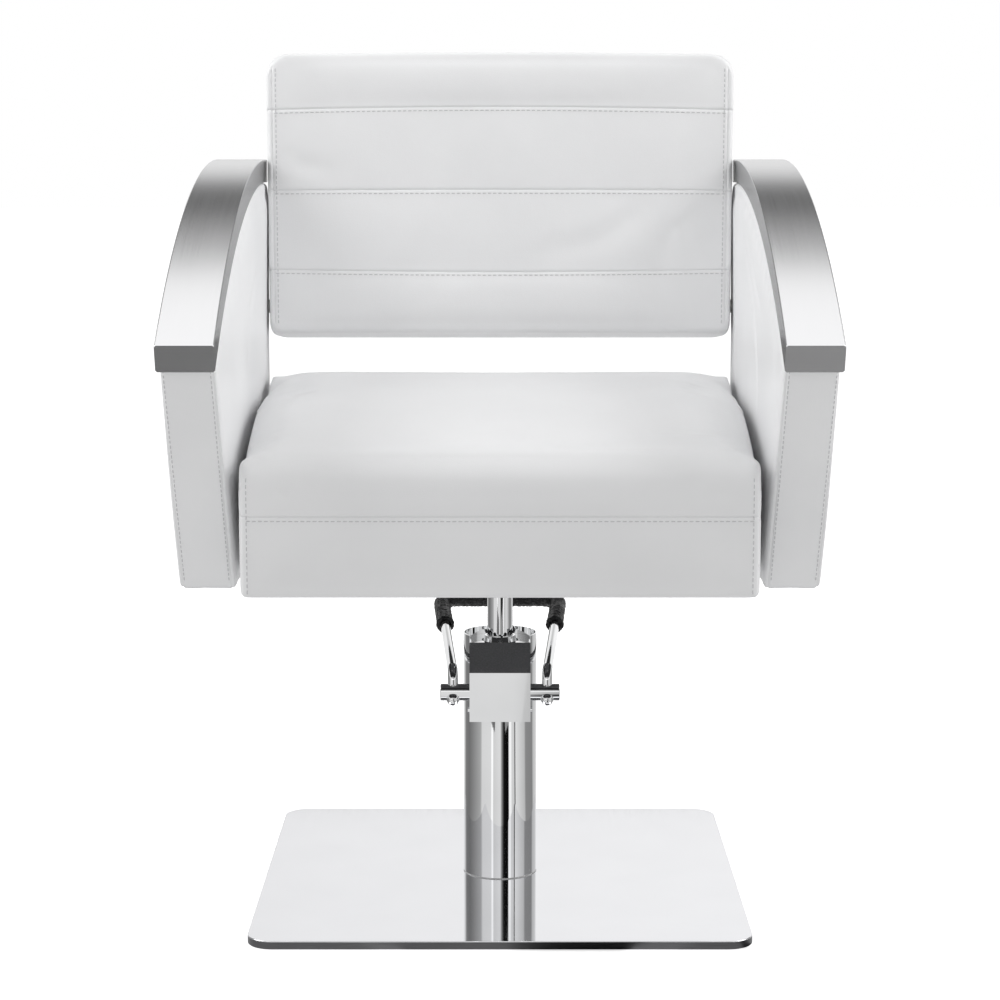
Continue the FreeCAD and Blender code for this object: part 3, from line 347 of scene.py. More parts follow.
def cornered(corners, steps):
    """An outline made of arcs, given as (first, second, radius, start, end), with angles in degrees."""
    points = []
    for first, second, radius, start, end in corners:
        angle = math.radians(start)
        points.append((first + radius * math.cos(angle), second + radius * math.sin(angle)))
        turned(points, (first, second), start, end, radius, steps)
    return points


def skin(bm, rings):
    """Faces between each ring of points and the next, with a cap at both ends."""
    for before, after in zip(rings, rings[1:]):
        for k in range(len(before)):
            following = (k + 1) % len(before)
            bm.faces.new((before[k], before[following], after[following], after[k]))
    bm.faces.new(list(reversed(rings[0])))
    bm.faces.new(rings[-1])


def rounded_prism(name, outline, low, high, axes, rounding):
    """An outline extruded between two depths, with both its rims rounded.

    axes maps (first, second, depth) of the outline's own frame to the model's axes."""
    bm = bmesh.new()
    rings = []
    for depth in (low, high):
        rings.append([bm.verts.new(Vector((u, v, depth))) for u, v in outline])
    count = len(outline)
    caps = [bm.faces.new(rings[0]), bm.faces.new(rings[1])]
    for k in range(count):
        after = (k + 1) % count
        bm.faces.new((rings[0][k], rings[0][after], rings[1][after], rings[1][k]))
    rims = {edge for cap in caps for edge in cap.edges}
    bmesh.ops.bevel(bm, geom=list(rims), offset=rounding, segments=4, profile=0.5, affect="EDGES")
    bmesh.ops.transform(bm, matrix=axes, verts=bm.verts)
    bmesh.ops.recalc_face_normals(bm, faces=bm.faces)
    return from_bmesh(name, bm, VINYL)


# Columns say where the outline's first, second and depth axes point.
# ACROSS takes an outline in (y, z) with its depth along x, UPRIGHT one in (x, z) with its depth along y.
ACROSS = Matrix(((0, 0, 1, 0), (1, 0, 0, 0), (0, 1, 0, 0), (0, 0, 0, 1)))
UPRIGHT = Matrix(((1, 0, 0, 0), (0, 0, 1, 0), (0, 1, 0, 0), (0, 0, 0, 1)))


# -------- inflating a pad
PRESSURE = 4.0
CLOTH_FRAMES = 16
CLOTH_QUALITY = 4
NEIGHBOURS = 4


def blow(shape, voxel, pinned):
    """Fills a coarse copy of a shape with air, as cloth. Gives its points and how far each moved."""
    scene = bpy.context.scene
    coarse = add_object("coarse_" + shape.name, shape.data.copy(), VINYL)
    with_modifier(coarse, "REMESH", mode="VOXEL", voxel_size=voxel)
    start = coordinates(coarse.data)
    held = np.nonzero(pinned(start, voxel / 2))[0]
    group = coarse.vertex_groups.new(name="held")
    group.add([int(k) for k in held], 1.0, "REPLACE")
    cloth = coarse.modifiers.new("cloth", "CLOTH")
    cloth.settings.use_pressure = True
    cloth.settings.uniform_pressure_force = PRESSURE
    cloth.settings.vertex_group_mass = "held"
    cloth.settings.quality = CLOTH_QUALITY
    cloth.settings.effector_weights.gravity = 0.0
    cloth.collision_settings.use_collision = False
    for step in range(1, CLOTH_FRAMES + 1):
        scene.frame_set(step)
    blown = evaluated_mesh(coarse)
    travel = coordinates(blown) - start
    bpy.data.meshes.remove(blown)
    bpy.data.objects.remove(coarse)
    scene.frame_set(1)
    return start, travel


def carried(points, start, travel):
    """The travel of each point, blended from the coarse points nearest to it."""
    tree = KDTree(len(start))
    for index, place in enumerate(start):
        tree.insert(place, index)
    tree.balance()
    result = np.zeros_like(points)
    for index, point in enumerate(points):
        total = 0.0
        for _, near, gap in tree.find_n(point, NEIGHBOURS):
            weight = 1.0 / (gap + 0.1 * MM) ** 2
            result[index] += travel[near] * weight
            total += weight
        result[index] /= total
    return result


def inflate(piece, coarse_voxel, pinned, cap):
    """Fills a pad with air, holding the pinned points, and caps how far each point moves.

    pinned and cap are functions of the points' places; cap gives metres."""
    points = coordinates(piece.data)
    limit = cap(points)
    start, travel = blow(piece, coarse_voxel, pinned)
    moved = carried(points, start, travel)
    length = np.maximum(np.linalg.norm(moved, axis=1), 1e-9)
    moved *= (limit * np.tanh(length / limit) / length)[:, None]
    moved[pinned(points, 0.0)] = 0.0
    set_coordinates(piece.data, points + moved)


def relax(mesh, rounds, factor, free=None):
    """Evens a mesh out by moving each point towards the middle of its neighbours."""
    edges = np.empty(len(mesh.edges) * 2, np.int64)
    mesh.edges.foreach_get("vertices", edges)
    edges = edges.reshape(-1, 2)
    count = len(mesh.vertices)
    degree = np.bincount(edges.ravel(), minlength=count).astype(float)
    points = coordinates(mesh)
    share = factor if free is None else factor * free[:, None]
    for _ in range(rounds):
        total = np.zeros_like(points)
        np.add.at(total, edges[:, 0], points[edges[:, 1]])
        np.add.at(total, edges[:, 1], points[edges[:, 0]])
        points += (total / degree[:, None] - points) * share
    set_coordinates(mesh, points)


PAD_VOXEL = 3.5 * MM


def pad(name, shape, coarse_voxel, pinned, cap, shaping=None):
    """Turns a start shape into an inflated pad's mesh."""
    with_modifier(shape, "REMESH", mode="VOXEL", voxel_size=PAD_VOXEL, use_smooth_shade=True)
    relax(shape.data, 2, 0.5)
    if shaping:
        set_coordinates(shape.data, shaping(coordinates(shape.data)))
    inflate(shape, coarse_voxel, pinned, cap)
    relax(shape.data, 3, 0.4)
    shape.name = name
    return shape


# -------- seams, creases and stitches
def groove(piece, point, normal, inside, depth=1.3 * MM, width=1.5 * MM):
    """Presses a narrow seam into a pad where a plane cuts the faces that a test accepts."""
    bm = bmesh.new()
    bm.from_mesh(piece.data)
    normal = normal.normalized()
    reach = 4 * width
    offsets = [width * k for k in (-1.6, -0.8, -0.35, 0.0, 0.35, 0.8, 1.6)]
    for offset in offsets:
        faces = []
        for face in bm.faces:
            centre = face.calc_center_median()
            if abs((centre - point).dot(normal)) < reach and inside(centre, face.normal):
                faces.append(face)
        geometry = set(faces)
        for face in faces:
            geometry.update(face.edges)
            geometry.update(face.verts)
        bmesh.ops.bisect_plane(
            bm, geom=list(geometry), dist=1e-6, plane_co=point + normal * offset, plane_no=normal
        )
    bm.normal_update()
    moves = []
    for vertex in bm.verts:
        off = (vertex.co - point).dot(normal)
        if abs(off) < 1.7 * width and inside(vertex.co, vertex.normal):
            moves.append((vertex, vertex.normal * (-depth * math.exp(-((off / (0.62 * width)) ** 2)))))
    for vertex, move in moves:
        vertex.co += move
    bm.to_mesh(piece.data)
    bm.free()
    piece.data.update()


def crease(piece, points, depth, width):
    """Presses a soft wrinkle into a pad along a line of points, fading out at both ends."""
    mesh = piece.data
    places = coordinates(mesh)
    outward = normals(mesh)
    total = len(points) - 1
    push = np.zeros(len(places))
    for index, (first, last) in enumerate(zip(points, points[1:])):
        first = np.array(first)
        run = np.array(last) - first
        share = np.clip((places - first) @ run / (run @ run), 0.0, 1.0)
        gap = np.linalg.norm(places - first - share[:, None] * run, axis=1)
        along = (index + share) / total
        fade = np.sin(np.pi * np.clip(along, 0.02, 0.98)) ** 0.6
        push = np.maximum(push, fade * np.exp(-((gap / width) ** 2)))
    set_coordinates(mesh, places - outward * (push * depth)[:, None])


STITCH_PITCH = 5.6 * MM
STITCH_LENGTH = 4.2 * MM
THREAD_RADIUS = 0.48 * MM
STITCH_SIDES = 6
# Along a stitch: place, lift above the vinyl and thickness, as shares of its length and radius.
STITCH_PROFILE = (
    (-0.5, -0.9, 0.7), (-0.33, 0.25, 0.95), (0.0, 0.6, 1.0), (0.33, 0.25, 0.95), (0.5, -0.9, 0.7),
)


def add_stitch(bm, centre, along, outward):
    """One stitch: a short thread that rises from the vinyl and dives back in."""
    along = (along - outward * along.dot(outward)).normalized()
    across = along.cross(outward)
    rings = []
    for place, lift, swell in STITCH_PROFILE:
        middle = centre + along * (place * STITCH_LENGTH) + outward * (lift * THREAD_RADIUS)
        ring = []
        for k in range(STITCH_SIDES):
            angle = 2 * math.pi * k / STITCH_SIDES
            offset = across * math.cos(angle) + outward * math.sin(angle)
            ring.append(bm.verts.new(middle + offset * (THREAD_RADIUS * swell)))
        rings.append(ring)
    skin(bm, rings)


def stitch_row(bm, surface, start, end, look):
    """Stitches along the line from start to end, where a ray along look meets the surface."""
    run = end - start
    count = max(2, int(run.length / STITCH_PITCH))
    look = look.normalized()
    for k in range(count + 1):
        place = start + run * (k / count)
        hit, normal, _, _ = surface.ray_cast(place - look * 0.08, look, 0.16)
        if hit is None:
            continue
        if normal.dot(look) > 0:
            normal = -normal
        if normal.dot(look) > -0.25:
            continue
        add_stitch(bm, hit, run, normal)


def surface_of(piece):
    bm = bmesh.new()
    bm.from_mesh(piece.data)
    tree = BVHTree.FromBMesh(bm)
    bm.free()
    return tree


def finish_stitching(name, bm):
    """Makes a piece of a pad's stitches."""
    bmesh.ops.recalc_face_normals(bm, faces=bm.faces)
    thread = from_bmesh(name, bm, THREAD)
    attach(thread, "chair")


def finish_pad(piece, node):
    """Hides the frame's soft solid that a pad stands for and attaches the pad to the chair."""
    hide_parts(node)
    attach(piece, "chair")


# -------- seat cushion
SEAT_START_INSET = 3.0 * MM
SEAT_FLOOR = seat_low.z - 0.5 * MM
SEAT_SIDE_FALL = 31.0 * MM
SEAT_SIDE_REACH = 36.0 * MM
SEAT_ROLL_START_Z = 438.0 * MM
SEAT_ROLL_DEPTH = 34.0 * MM
SEAT_ROLL_END_Z = 473.0 * MM
SEAT_ROLL_TURN = math.radians(77.4)
SEAT_ROLL_STEPS = 8
SEAT_REAR_ROUND = 15.0 * MM
SEAT_REAR_EDGE_Z = 504.0 * MM
SEAT_CREST_Y = 70.0 * MM
SEAT_ROUNDING = 7.0 * MM
SEAT_SIDE_INSET = 0.5 * MM
SEAT_FILL = 4.5 * MM
SEAT_SIDE_FILL = 2.0 * MM
SEAT_CLOTH_VOXEL = 11.0 * MM
SEAT_FRONT_HALF = 242.0 * MM
SEAT_HALF = seat_high.x


# Wrinkles across the seat behind its front roll and at its sides, as (points, depth, width).
SEAT_CREASES = (
    (((0.085, -0.166, 0.491), (0.160, -0.165, 0.490), (0.236, -0.168, 0.478)), 2.6 * MM, 6 * MM),
    (((0.030, -0.200, 0.475), (0.130, -0.199, 0.475), (0.240, -0.201, 0.464)), 2.2 * MM, 6 * MM),
    (((0.165, 0.045, 0.514), (0.210, 0.035, 0.509), (0.246, 0.030, 0.488)), 1.2 * MM, 8 * MM),
    (((-0.246, 0.120, 0.492), (-0.200, 0.140, 0.508)), 1.3 * MM, 8 * MM),
)


def circle_through(first, middle, last):
    """Centre and radius of the circle through three points of a plane."""
    (ax, ay), (bx, by), (cx, cy) = first, middle, last
    a_square = ax * ax + ay * ay
    b_square = bx * bx + by * by
    c_square = cx * cx + cy * cy
    scale = 2 * (ax * (by - cy) + bx * (cy - ay) + cx * (ay - by))
    x = (a_square * (by - cy) + b_square * (cy - ay) + c_square * (ay - by)) / scale
    y = (a_square * (cx - bx) + b_square * (ax - cx) + c_square * (bx - ax)) / scale
    return (x, y), math.hypot(ax - x, ay - y)


def seat_outline():
    """The seat's side outline in (y, z), a little inside the finished cushion."""
    inset = SEAT_START_INSET
    front = seat_low.y + inset
    back = seat_high.y - inset
    crest = (SEAT_CREST_Y, seat_high.z - inset)
    roll_end = (front + SEAT_ROLL_DEPTH, SEAT_ROLL_END_Z - inset)
    rear = (back - SEAT_REAR_ROUND, SEAT_REAR_EDGE_Z - inset)
    middle = (SEAT_FLOOR + SEAT_ROLL_START_Z) / 2
    points = [(front, SEAT_FLOOR), (front, middle), (front, SEAT_ROLL_START_Z)]
    roll_rise = roll_end[1] - SEAT_ROLL_START_Z
    for step in range(1, SEAT_ROLL_STEPS + 1):
        angle = SEAT_ROLL_TURN * step / SEAT_ROLL_STEPS
        share = math.sin(angle) / math.sin(SEAT_ROLL_TURN)
        depth = (1 - math.cos(angle)) / (1 - math.cos(SEAT_ROLL_TURN))
        points.append((front + SEAT_ROLL_DEPTH * depth, SEAT_ROLL_START_Z + roll_rise * share))
    centre, radius = circle_through(roll_end, crest, rear)
    angle_start = math.degrees(math.atan2(roll_end[1] - centre[1], roll_end[0] - centre[0]))
    angle_end = math.degrees(math.atan2(rear[1] - centre[1], rear[0] - centre[0]))
    turned(points, centre, angle_start, angle_end, radius, 24)
    turned(points, (back - SEAT_REAR_ROUND, rear[1] - SEAT_REAR_ROUND), 90.0, 0.0, SEAT_REAR_ROUND, 5)
    points.append((back, SEAT_FLOOR))
    return points


def seat_half_width(y):
    """Half the seat's width at a depth: it narrows a little towards the front."""
    share = np.clip((y - seat_low.y) / (0.0 - seat_low.y), 0.0, 1.0)
    return SEAT_FRONT_HALF + (SEAT_HALF - SEAT_FRONT_HALF) * share


def smooth_step(values, start, end):
    share = np.clip((values - start) / (end - start), 0.0, 1.0)
    return share * share * (3 - 2 * share)


def seat_side_fall(points):
    """How far the seat's top falls away towards its sides, where the cover is pulled down."""
    depth = smooth_step(points[:, 1], seat_low.y, -0.145) * (1 - smooth_step(points[:, 1], 0.105, 0.200))
    from_side = seat_half_width(points[:, 1]) - np.abs(points[:, 0])
    near = np.clip(1 - from_side / SEAT_SIDE_REACH, 0.0, 1.0)
    curve = 1 - np.sqrt(1 - near * near)
    height = smooth_step(points[:, 2], SEAT_SEAM_Z, SEAT_ROLL_END_Z)
    return SEAT_SIDE_FALL * depth * curve * height


def make_seat_cushion():
    half = SEAT_HALF - SEAT_SIDE_INSET
    shape = rounded_prism("seat_start", seat_outline(), -half, half, ACROSS, SEAT_ROUNDING)
    points = coordinates(shape.data)
    points[:, 0] *= seat_half_width(points[:, 1]) / SEAT_HALF
    low = points[:, 2] < SEAT_FLOOR + 7.5 * MM
    points[low, 2] = SEAT_FLOOR + (points[low, 2] - SEAT_FLOOR) * 0.25
    set_coordinates(shape.data, points)

    def shaping(places):
        places[:, 2] -= seat_side_fall(places)
        return places

    def held(places, slack):
        low = places[:, 2] < SEAT_FLOOR + 5 * MM
        front = places[:, 1] < seat_low.y + 24 * MM
        seam = front & (np.abs(places[:, 2] - SEAT_SEAM_Z) < 2 * MM + slack)
        side = np.abs(places[:, 0]) - (seat_half_width(places[:, 1]) - SEAT_SIDE_INSET)
        corner = (np.abs(side + 4 * MM) < 2 * MM + slack) & front & (places[:, 2] < SEAT_ROLL_END_Z)
        return low | seam | corner

    def cap(places):
        side = np.abs(places[:, 0]) > seat_half_width(places[:, 1]) - 6 * MM
        return np.where(side, SEAT_SIDE_FILL, SEAT_FILL)

    seat = pad("seat_cushion_cover", shape, SEAT_CLOTH_VOXEL, held, cap, shaping)
    front_limit = seat_low.y + 26 * MM

    def on_front(place, normal):
        return place.y < front_limit and normal.y < -0.2

    groove(seat, Vector((0, 0, SEAT_SEAM_Z)), Vector((0, 0, 1)), on_front)
    for side in (-1, 1):
        seam_x = side * (SEAT_FRONT_HALF - 3.0 * MM)
        groove(
            seat, Vector((seam_x, seat_low.y, 0)), Vector((1, -side * 0.3, 0)),
            lambda place, normal, side=side: (
                place.y < seat_low.y + 45 * MM
                and place.z < SEAT_ROLL_END_Z - 8 * MM
                and normal.y < -0.1
                and place.x * side > 0.2
            ),
            0.9 * MM,
        )
    for points, depth, width in SEAT_CREASES:
        crease(seat, points, depth, width)

    surface = surface_of(seat)
    bm = bmesh.new()
    front_look = Vector((0, 1, 0))
    below = SEAT_SEAM_Z - 4.0 * MM
    reach = SEAT_FRONT_HALF - 9 * MM
    row_start = Vector((-reach, seat_low.y, below))
    stitch_row(bm, surface, row_start, row_start + Vector((2 * reach, 0, 0)), front_look)
    for side in (-1, 1):
        x = side * (SEAT_FRONT_HALF - 7.5 * MM)
        stitch_row(
            bm, surface, Vector((x, seat_low.y, SEAT_FLOOR + 6 * MM)),
            Vector((x, seat_low.y, SEAT_ROLL_START_Z + 8 * MM)), front_look,
        )
    finish_pad(seat, "seat_cushion")
    finish_stitching("seat_stitching", bm)


# -------- backrest
BACK_INSET = 0.8 * MM
REAR_INSET = 2.2 * MM
BACK_LOW_CORNER = 9.0 * MM
REAR_LOW_CORNER = 10.0 * MM
BACK_TOP_CORNER = 20.0 * MM
BACK_ROUNDING = 8.0 * MM
BACK_FILL = 5.5 * MM
REAR_FILL = 5.0 * MM
BACK_EDGE_FILL = 1.0 * MM
BACK_CLOTH_VOXEL = 8.0 * MM
REAR_CLOTH_VOXEL = 10.0 * MM
LEANED = Matrix.Translation(BACK_FOOT) @ Matrix.Rotation(-BACK_LEAN, 4, "X")


def back_half_width(height):
    return BACK_HALF_LOW + (BACK_HALF_TOP - BACK_HALF_LOW) * height / BACK_HEIGHT


def back_outline(inset, low_corner, top_corner):
    """The backrest's outline in (x, height): wider at the top, with rounded corners."""
    base = inset + low_corner
    top = BACK_HEIGHT - inset - top_corner
    low = BACK_HALF_LOW - inset - low_corner
    high = BACK_HALF_TOP - inset - top_corner
    corners = (
        (low, base, low_corner, -90, 0), (high, top, top_corner, 0, 90),
        (-high, top, top_corner, 90, 180), (-low, base, low_corner, 180, 270),
    )
    return cornered(corners, 6)


# How far the middle of the backrest's cover bows up, as (height, rise) in millimetres.
BACK_BOW = ((0.0, 0.0), (71.0, -2.5), (158.0, 1.0), (247.0, 3.5), (311.0, 3.0))
# Soft folds in the backrest's cover, as (points in its upright frame, depth, width).
BACK_CREASES = (
    (((0.175, 0.0, 0.150), (0.110, 0.0, 0.105), (0.030, 0.0, 0.088)), 2.2 * MM, 13 * MM),
    (((0.235, 0.0, 0.148), (0.185, 0.0, 0.110), (0.165, 0.0, 0.055)), 1.8 * MM, 12 * MM),
    (((-0.240, 0.0, 0.205), (-0.215, 0.0, 0.185), (-0.180, 0.0, 0.180)), 1.8 * MM, 10 * MM),
)


def bowed(x, height):
    """How far a point of the backrest's cover is raised by the bow of its seams."""
    heights, rises = zip(*BACK_BOW)
    rise = np.interp(height, np.array(heights) * MM, np.array(rises) * MM)
    return rise * np.clip(1 - (x / BACK_HALF_LOW) ** 2, 0.0, 1.0)


def bow_and_lean(cushion):
    """Bows a backrest piece's seams and leans it back into place."""
    places = coordinates(cushion.data)
    places[:, 2] += bowed(places[:, 0], places[:, 2])
    set_coordinates(cushion.data, places)
    cushion.data.transform(LEANED)


def make_back_front():
    """The backrest's front cushion, in its own upright frame until it is leaned back."""
    outline = back_outline(BACK_INSET, BACK_LOW_CORNER, BACK_TOP_CORNER)
    shape = rounded_prism("back_start", outline, 3.0 * MM, BACK_FRONT_DEPTH, UPRIGHT, BACK_ROUNDING)
    for vertex in shape.data.vertices:
        arch = 1 - (vertex.co.x / BACK_HALF_LOW) ** 2
        if vertex.co.z < 0.06:
            vertex.co.z += 3.5 * MM * arch * (1 - vertex.co.z / 0.06)

    def edge_gap(places):
        return np.minimum(
            back_half_width(places[:, 2]) - BACK_INSET - np.abs(places[:, 0]),
            np.minimum(places[:, 2], BACK_HEIGHT - places[:, 2]) - BACK_INSET,
        )

    def held(places, slack):
        front = places[:, 1] < 18 * MM
        seams = np.zeros(len(places), bool)
        for height in BACK_SEAM_HEIGHTS:
            seams |= np.abs(places[:, 2] - height) < 1.5 * MM + slack
        rear = places[:, 1] > BACK_FRONT_DEPTH - 5 * MM
        from_side = back_half_width(places[:, 2]) - np.abs(places[:, 0])
        side_seam = np.abs(from_side - 8.5 * MM) < 1.5 * MM + slack
        return (front & (seams | side_seam)) | rear

    def cap(places):
        return np.where(edge_gap(places) < 5 * MM, BACK_EDGE_FILL, BACK_FILL)

    cushion = pad("back_front_cover", shape, BACK_CLOTH_VOXEL, held, cap)

    def on_front(place, normal):
        return normal.y < -0.35

    for height in BACK_SEAM_HEIGHTS:
        groove(cushion, Vector((0, 0, height)), Vector((0, 0, 1)), on_front)
    slope = (BACK_HALF_TOP - BACK_HALF_LOW) / BACK_HEIGHT
    for side in (-1, 1):
        seam_x = side * (BACK_HALF_LOW - 7.0 * MM)
        groove(
            cushion, Vector((seam_x, 0, 0)), Vector((1, 0, -side * slope)),
            lambda place, normal, side=side: (
                place.x * side > 0.2 and normal.y < -0.15 and 14 * MM < place.z < BACK_HEIGHT - 16 * MM
            ),
            0.9 * MM,
        )
    for points, depth, width in BACK_CREASES:
        crease(cushion, points, depth, width)
    surface = surface_of(cushion)
    bm = bmesh.new()
    look = Vector((0, 1, 0))
    for height in BACK_SEAM_HEIGHTS:
        reach = back_half_width(height) - 11 * MM
        row = height - 4.0 * MM
        stitch_row(bm, surface, Vector((-reach, 0, row)), Vector((reach, 0, row)), look)
    for side in (-1, 1):
        low = Vector((side * (BACK_HALF_LOW - 11 * MM), 0, 14 * MM))
        top = Vector((side * (BACK_HALF_TOP - 11 * MM), 0, BACK_HEIGHT - 20 * MM))
        stitch_row(bm, surface, low, top, look)
    for vertex in bm.verts:
        vertex.co.z += bowed(vertex.co.x, vertex.co.z)
    bmesh.ops.transform(bm, matrix=LEANED, verts=bm.verts)
    bow_and_lean(cushion)
    finish_pad(cushion, "back_cushion")
    finish_stitching("back_stitching", bm)


def make_back_rear():
    """The thinner pad over the back of the frame board, held where it meets the front cushion."""
    outline = back_outline(REAR_INSET, REAR_LOW_CORNER, BACK_TOP_CORNER)
    total = BACK_FRONT_DEPTH + BACK_REAR_DEPTH
    depths = (BACK_FRONT_DEPTH + 0.4 * MM, total - 3 * MM)
    shape = rounded_prism("rear_start", outline, *depths, UPRIGHT, BACK_ROUNDING)

    def held(places, slack):
        return places[:, 1] < BACK_FRONT_DEPTH + 3 * MM + slack

    def cap(places):
        beside = np.abs(places[:, 0]) > back_half_width(places[:, 2]) - 10 * MM
        foot = places[:, 2] < 10 * MM
        head = places[:, 2] > BACK_HEIGHT - 10 * MM
        return np.where(beside | foot | head, BACK_EDGE_FILL, REAR_FILL)

    cushion = pad("back_rear_cover", shape, REAR_CLOTH_VOXEL, held, cap)
    bow_and_lean(cushion)
    finish_pad(cushion, "back_rear_pad")


# -------- arms
def arc_height(radius, y):
    return ARC_CENTRE.z + math.sqrt(radius * radius - (y - ARC_CENTRE.y) ** 2)


def nose_y(radius):
    """How far forward the slanted nose cut lies at an arc of the given radius."""
    top = arc_height(ARC_RADIUS, NOSE_Y)
    y = NOSE_Y
    for _ in range(30):
        y = NOSE_Y + (top - arc_height(radius, y)) * math.tan(NOSE_CUT)
    return y


def arm_outline(inset):
    """An arm pad's side outline in (y, z), under the band, with a rounded foot."""
    radius = ARC_RADIUS - STRAP_THICKNESS
    front_top = nose_y(radius) + PANEL_SETBACK + inset
    back = arm_high.y - inset
    foot = arm_low.z + inset - ARM_FOOT_DROP
    front_foot = ARM_FOOT_FRONT + inset
    corner = 5 * MM
    points = []
    steps = 36
    for k in range(steps + 1):
        y = front_top + (back - front_top) * k / steps
        points.append((y, arc_height(radius, y)))
    turned(points, (back - corner, foot + corner), 0, -90, corner, 6)
    top_z = points[0][1]
    lean = math.atan2(front_foot - front_top, top_z - foot)
    reach = corner * math.tan((math.pi / 2 - lean) / 2)
    start = math.degrees(-math.pi / 2)
    end = -180.0 + math.degrees(lean)
    turned(points, (front_foot + reach, foot + corner), start, end, corner, 6)
    return points


ARM_ROUNDING = 3.0 * MM
ARM_CLOTH_VOXEL = 9.0 * MM
ARM_OVERFILL = 1.0 * MM
ARM_FOOT_BULGE = 1.5 * MM
ARM_FOOT_DROP = 2.0 * MM
ARM_FOOT_SPREAD = 3.0 * MM
ARM_OUTER_INSET = 2.4 * MM
ARM_INNER_OUTSET = 0.4 * MM
ARM_FILL = 1.8 * MM
ARM_SEAM_IN = 3.2 * MM
ARM_STITCH_IN = 5.4 * MM

# Wrinkles on the arms' inner walls, as (y, z) places, depth and width.
ARM_CREASES = {
    "right": (
        (((0.10, 0.655), (0.00, 0.60), (-0.05, 0.535), (-0.06, 0.47)), 1.8 * MM, 6 * MM),
        (((0.05, 0.655), (-0.03, 0.61), (-0.10, 0.58)), 1.4 * MM, 6 * MM),
    ),
    "left": (
        (((0.12, 0.63), (0.03, 0.585), (0.0, 0.52)), 1.4 * MM, 8 * MM),
    ),
}


def make_arm_pad(name, side):
    inner = arm_low.x
    outer = arm_high.x
    depths = sorted((side * (inner - ARM_INNER_OUTSET), side * (outer - ARM_OUTER_INSET)))
    shape = rounded_prism("arm_start_" + name, arm_outline(-ARM_OVERFILL), *depths, ACROSS, ARM_ROUNDING)

    def shaping(places):
        """Spreads the foot: a little outwards, and inwards where the pad bulges beside the seat."""
        across = np.abs(places[:, 0])
        foot = 1 - smooth_step(places[:, 2], 0.38, 0.60)
        outside = smooth_step(across, outer - 16 * MM, outer - 4 * MM)
        beside_seat = smooth_step(-places[:, 1], 0.02, 0.12) * foot
        inside = 1 - smooth_step(across, inner + 4 * MM, inner + 22 * MM)
        places[:, 0] += side * (ARM_FOOT_SPREAD * foot * outside - ARM_FOOT_BULGE * beside_seat * inside)
        return places

    radius = ARC_RADIUS - STRAP_THICKNESS
    front_top = nose_y(radius) + PANEL_SETBACK
    top_z = arc_height(radius, front_top)
    front_line = Vector((0, ARM_FOOT_FRONT - front_top, arm_low.z - top_z)).normalized()
    front_normal = Vector((0, front_line.z, -front_line.y))

    def behind_front(places):
        return (places[:, 1] - front_top) * -front_normal.y + (places[:, 2] - top_z) * -front_normal.z

    def held(places, slack):
        height = np.hypot(places[:, 1] - ARC_CENTRE.y, places[:, 2] - ARC_CENTRE.z)
        under_band = height > radius - 5 * MM
        middle = np.abs(np.abs(places[:, 0]) - (inner + outer) / 2)
        seam = (behind_front(places) < 5 * MM + slack) & (middle > 18 * MM)
        return under_band | seam

    def cap(places):
        return np.full(len(places), ARM_FILL)

    arm = pad("arm_pad_" + name, shape, ARM_CLOTH_VOXEL, held, cap, shaping)
    for edge, sign in ((inner, 1), (outer, -1)):
        seam_x = side * (edge + sign * ARM_SEAM_IN)
        groove(
            arm, Vector((seam_x, 0, 0)), Vector((1, 0, 0)),
            lambda place, normal: normal.dot(front_normal) > 0.3 and place.z < top_z - 4 * MM,
            0.9 * MM, 1.3 * MM,
        )

    places = coordinates(arm.data)
    outside = places[:, 0] * side
    dimple = np.zeros(len(places))
    for y, z in bolt_places():
        gap = np.hypot(places[:, 1] - y, places[:, 2] - z)
        dimple = np.maximum(dimple, 1 / (1 + np.exp((gap - 14.5 * MM) / (1.3 * MM))))
    deep = (outside > WASHER_BED - 2 * MM) & (dimple > 0.001)
    places[deep, 0] = side * (outside[deep] * (1 - dimple[deep]) + WASHER_BED * dimple[deep])
    set_coordinates(arm.data, places)

    for line, depth, width in ARM_CREASES[name]:
        crease(arm, [(side * inner, y, z) for y, z in line], depth, width)

    surface = surface_of(arm)
    bm = bmesh.new()
    start = Vector((0, front_top, top_z)) + front_line * (6 * MM)
    length = (Vector((0, ARM_FOOT_FRONT, arm_low.z)) - Vector((0, front_top, top_z))).length
    end = Vector((0, front_top, top_z)) + front_line * (length - 12 * MM)
    for edge, sign in ((inner, 1), (outer, -1)):
        across = Vector((side * (edge + sign * ARM_STITCH_IN), 0, 0))
        stitch_row(bm, surface, start + across, end + across, -front_normal)
    finish_pad(arm, "arm_upholstery_" + name)
    finish_stitching("arm_stitching_" + name, bm)


_, washer_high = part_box("arm_washers")
WASHER_BED = washer_high.x - 1.9 * MM


def bolt_places():
    """The (y, z) of the washers on one arm, found as islands in the washers' mesh."""
    points = coordinates(nodes["arm_washers"].data)
    points = points[points[:, 0] > 0]
    found = []
    for _, y, z in points:
        for group in found:
            if math.hypot(group[0][0] - y, group[0][1] - z) < 22 * MM:
                group.append((y, z))
                break
        else:
            found.append([(y, z)])
    centres = []
    for group in found:
        ys = [place[0] for place in group]
        zs = [place[1] for place in group]
        centres.append(((min(ys) + max(ys)) / 2, (min(zs) + max(zs)) / 2))
    return centres


STRAP_EDGE = 1.6 * MM
STRAP_STATIONS = 90
STRAP_TURN = 0.62


def strap_section():
    """The band's cross-section as (x, height), rounded at its four long edges, going round once."""
    side = STRAP_HALF - STRAP_EDGE
    floor = -STRAP_THICKNESS + STRAP_EDGE
    corners = (
        (side, -STRAP_EDGE, STRAP_EDGE, 0, 90), (-side, -STRAP_EDGE, STRAP_EDGE, 90, 180),
        (-side, floor, STRAP_EDGE, 180, 270), (side, floor, STRAP_EDGE, 270, 360),
    )
    return cornered(corners, 5)


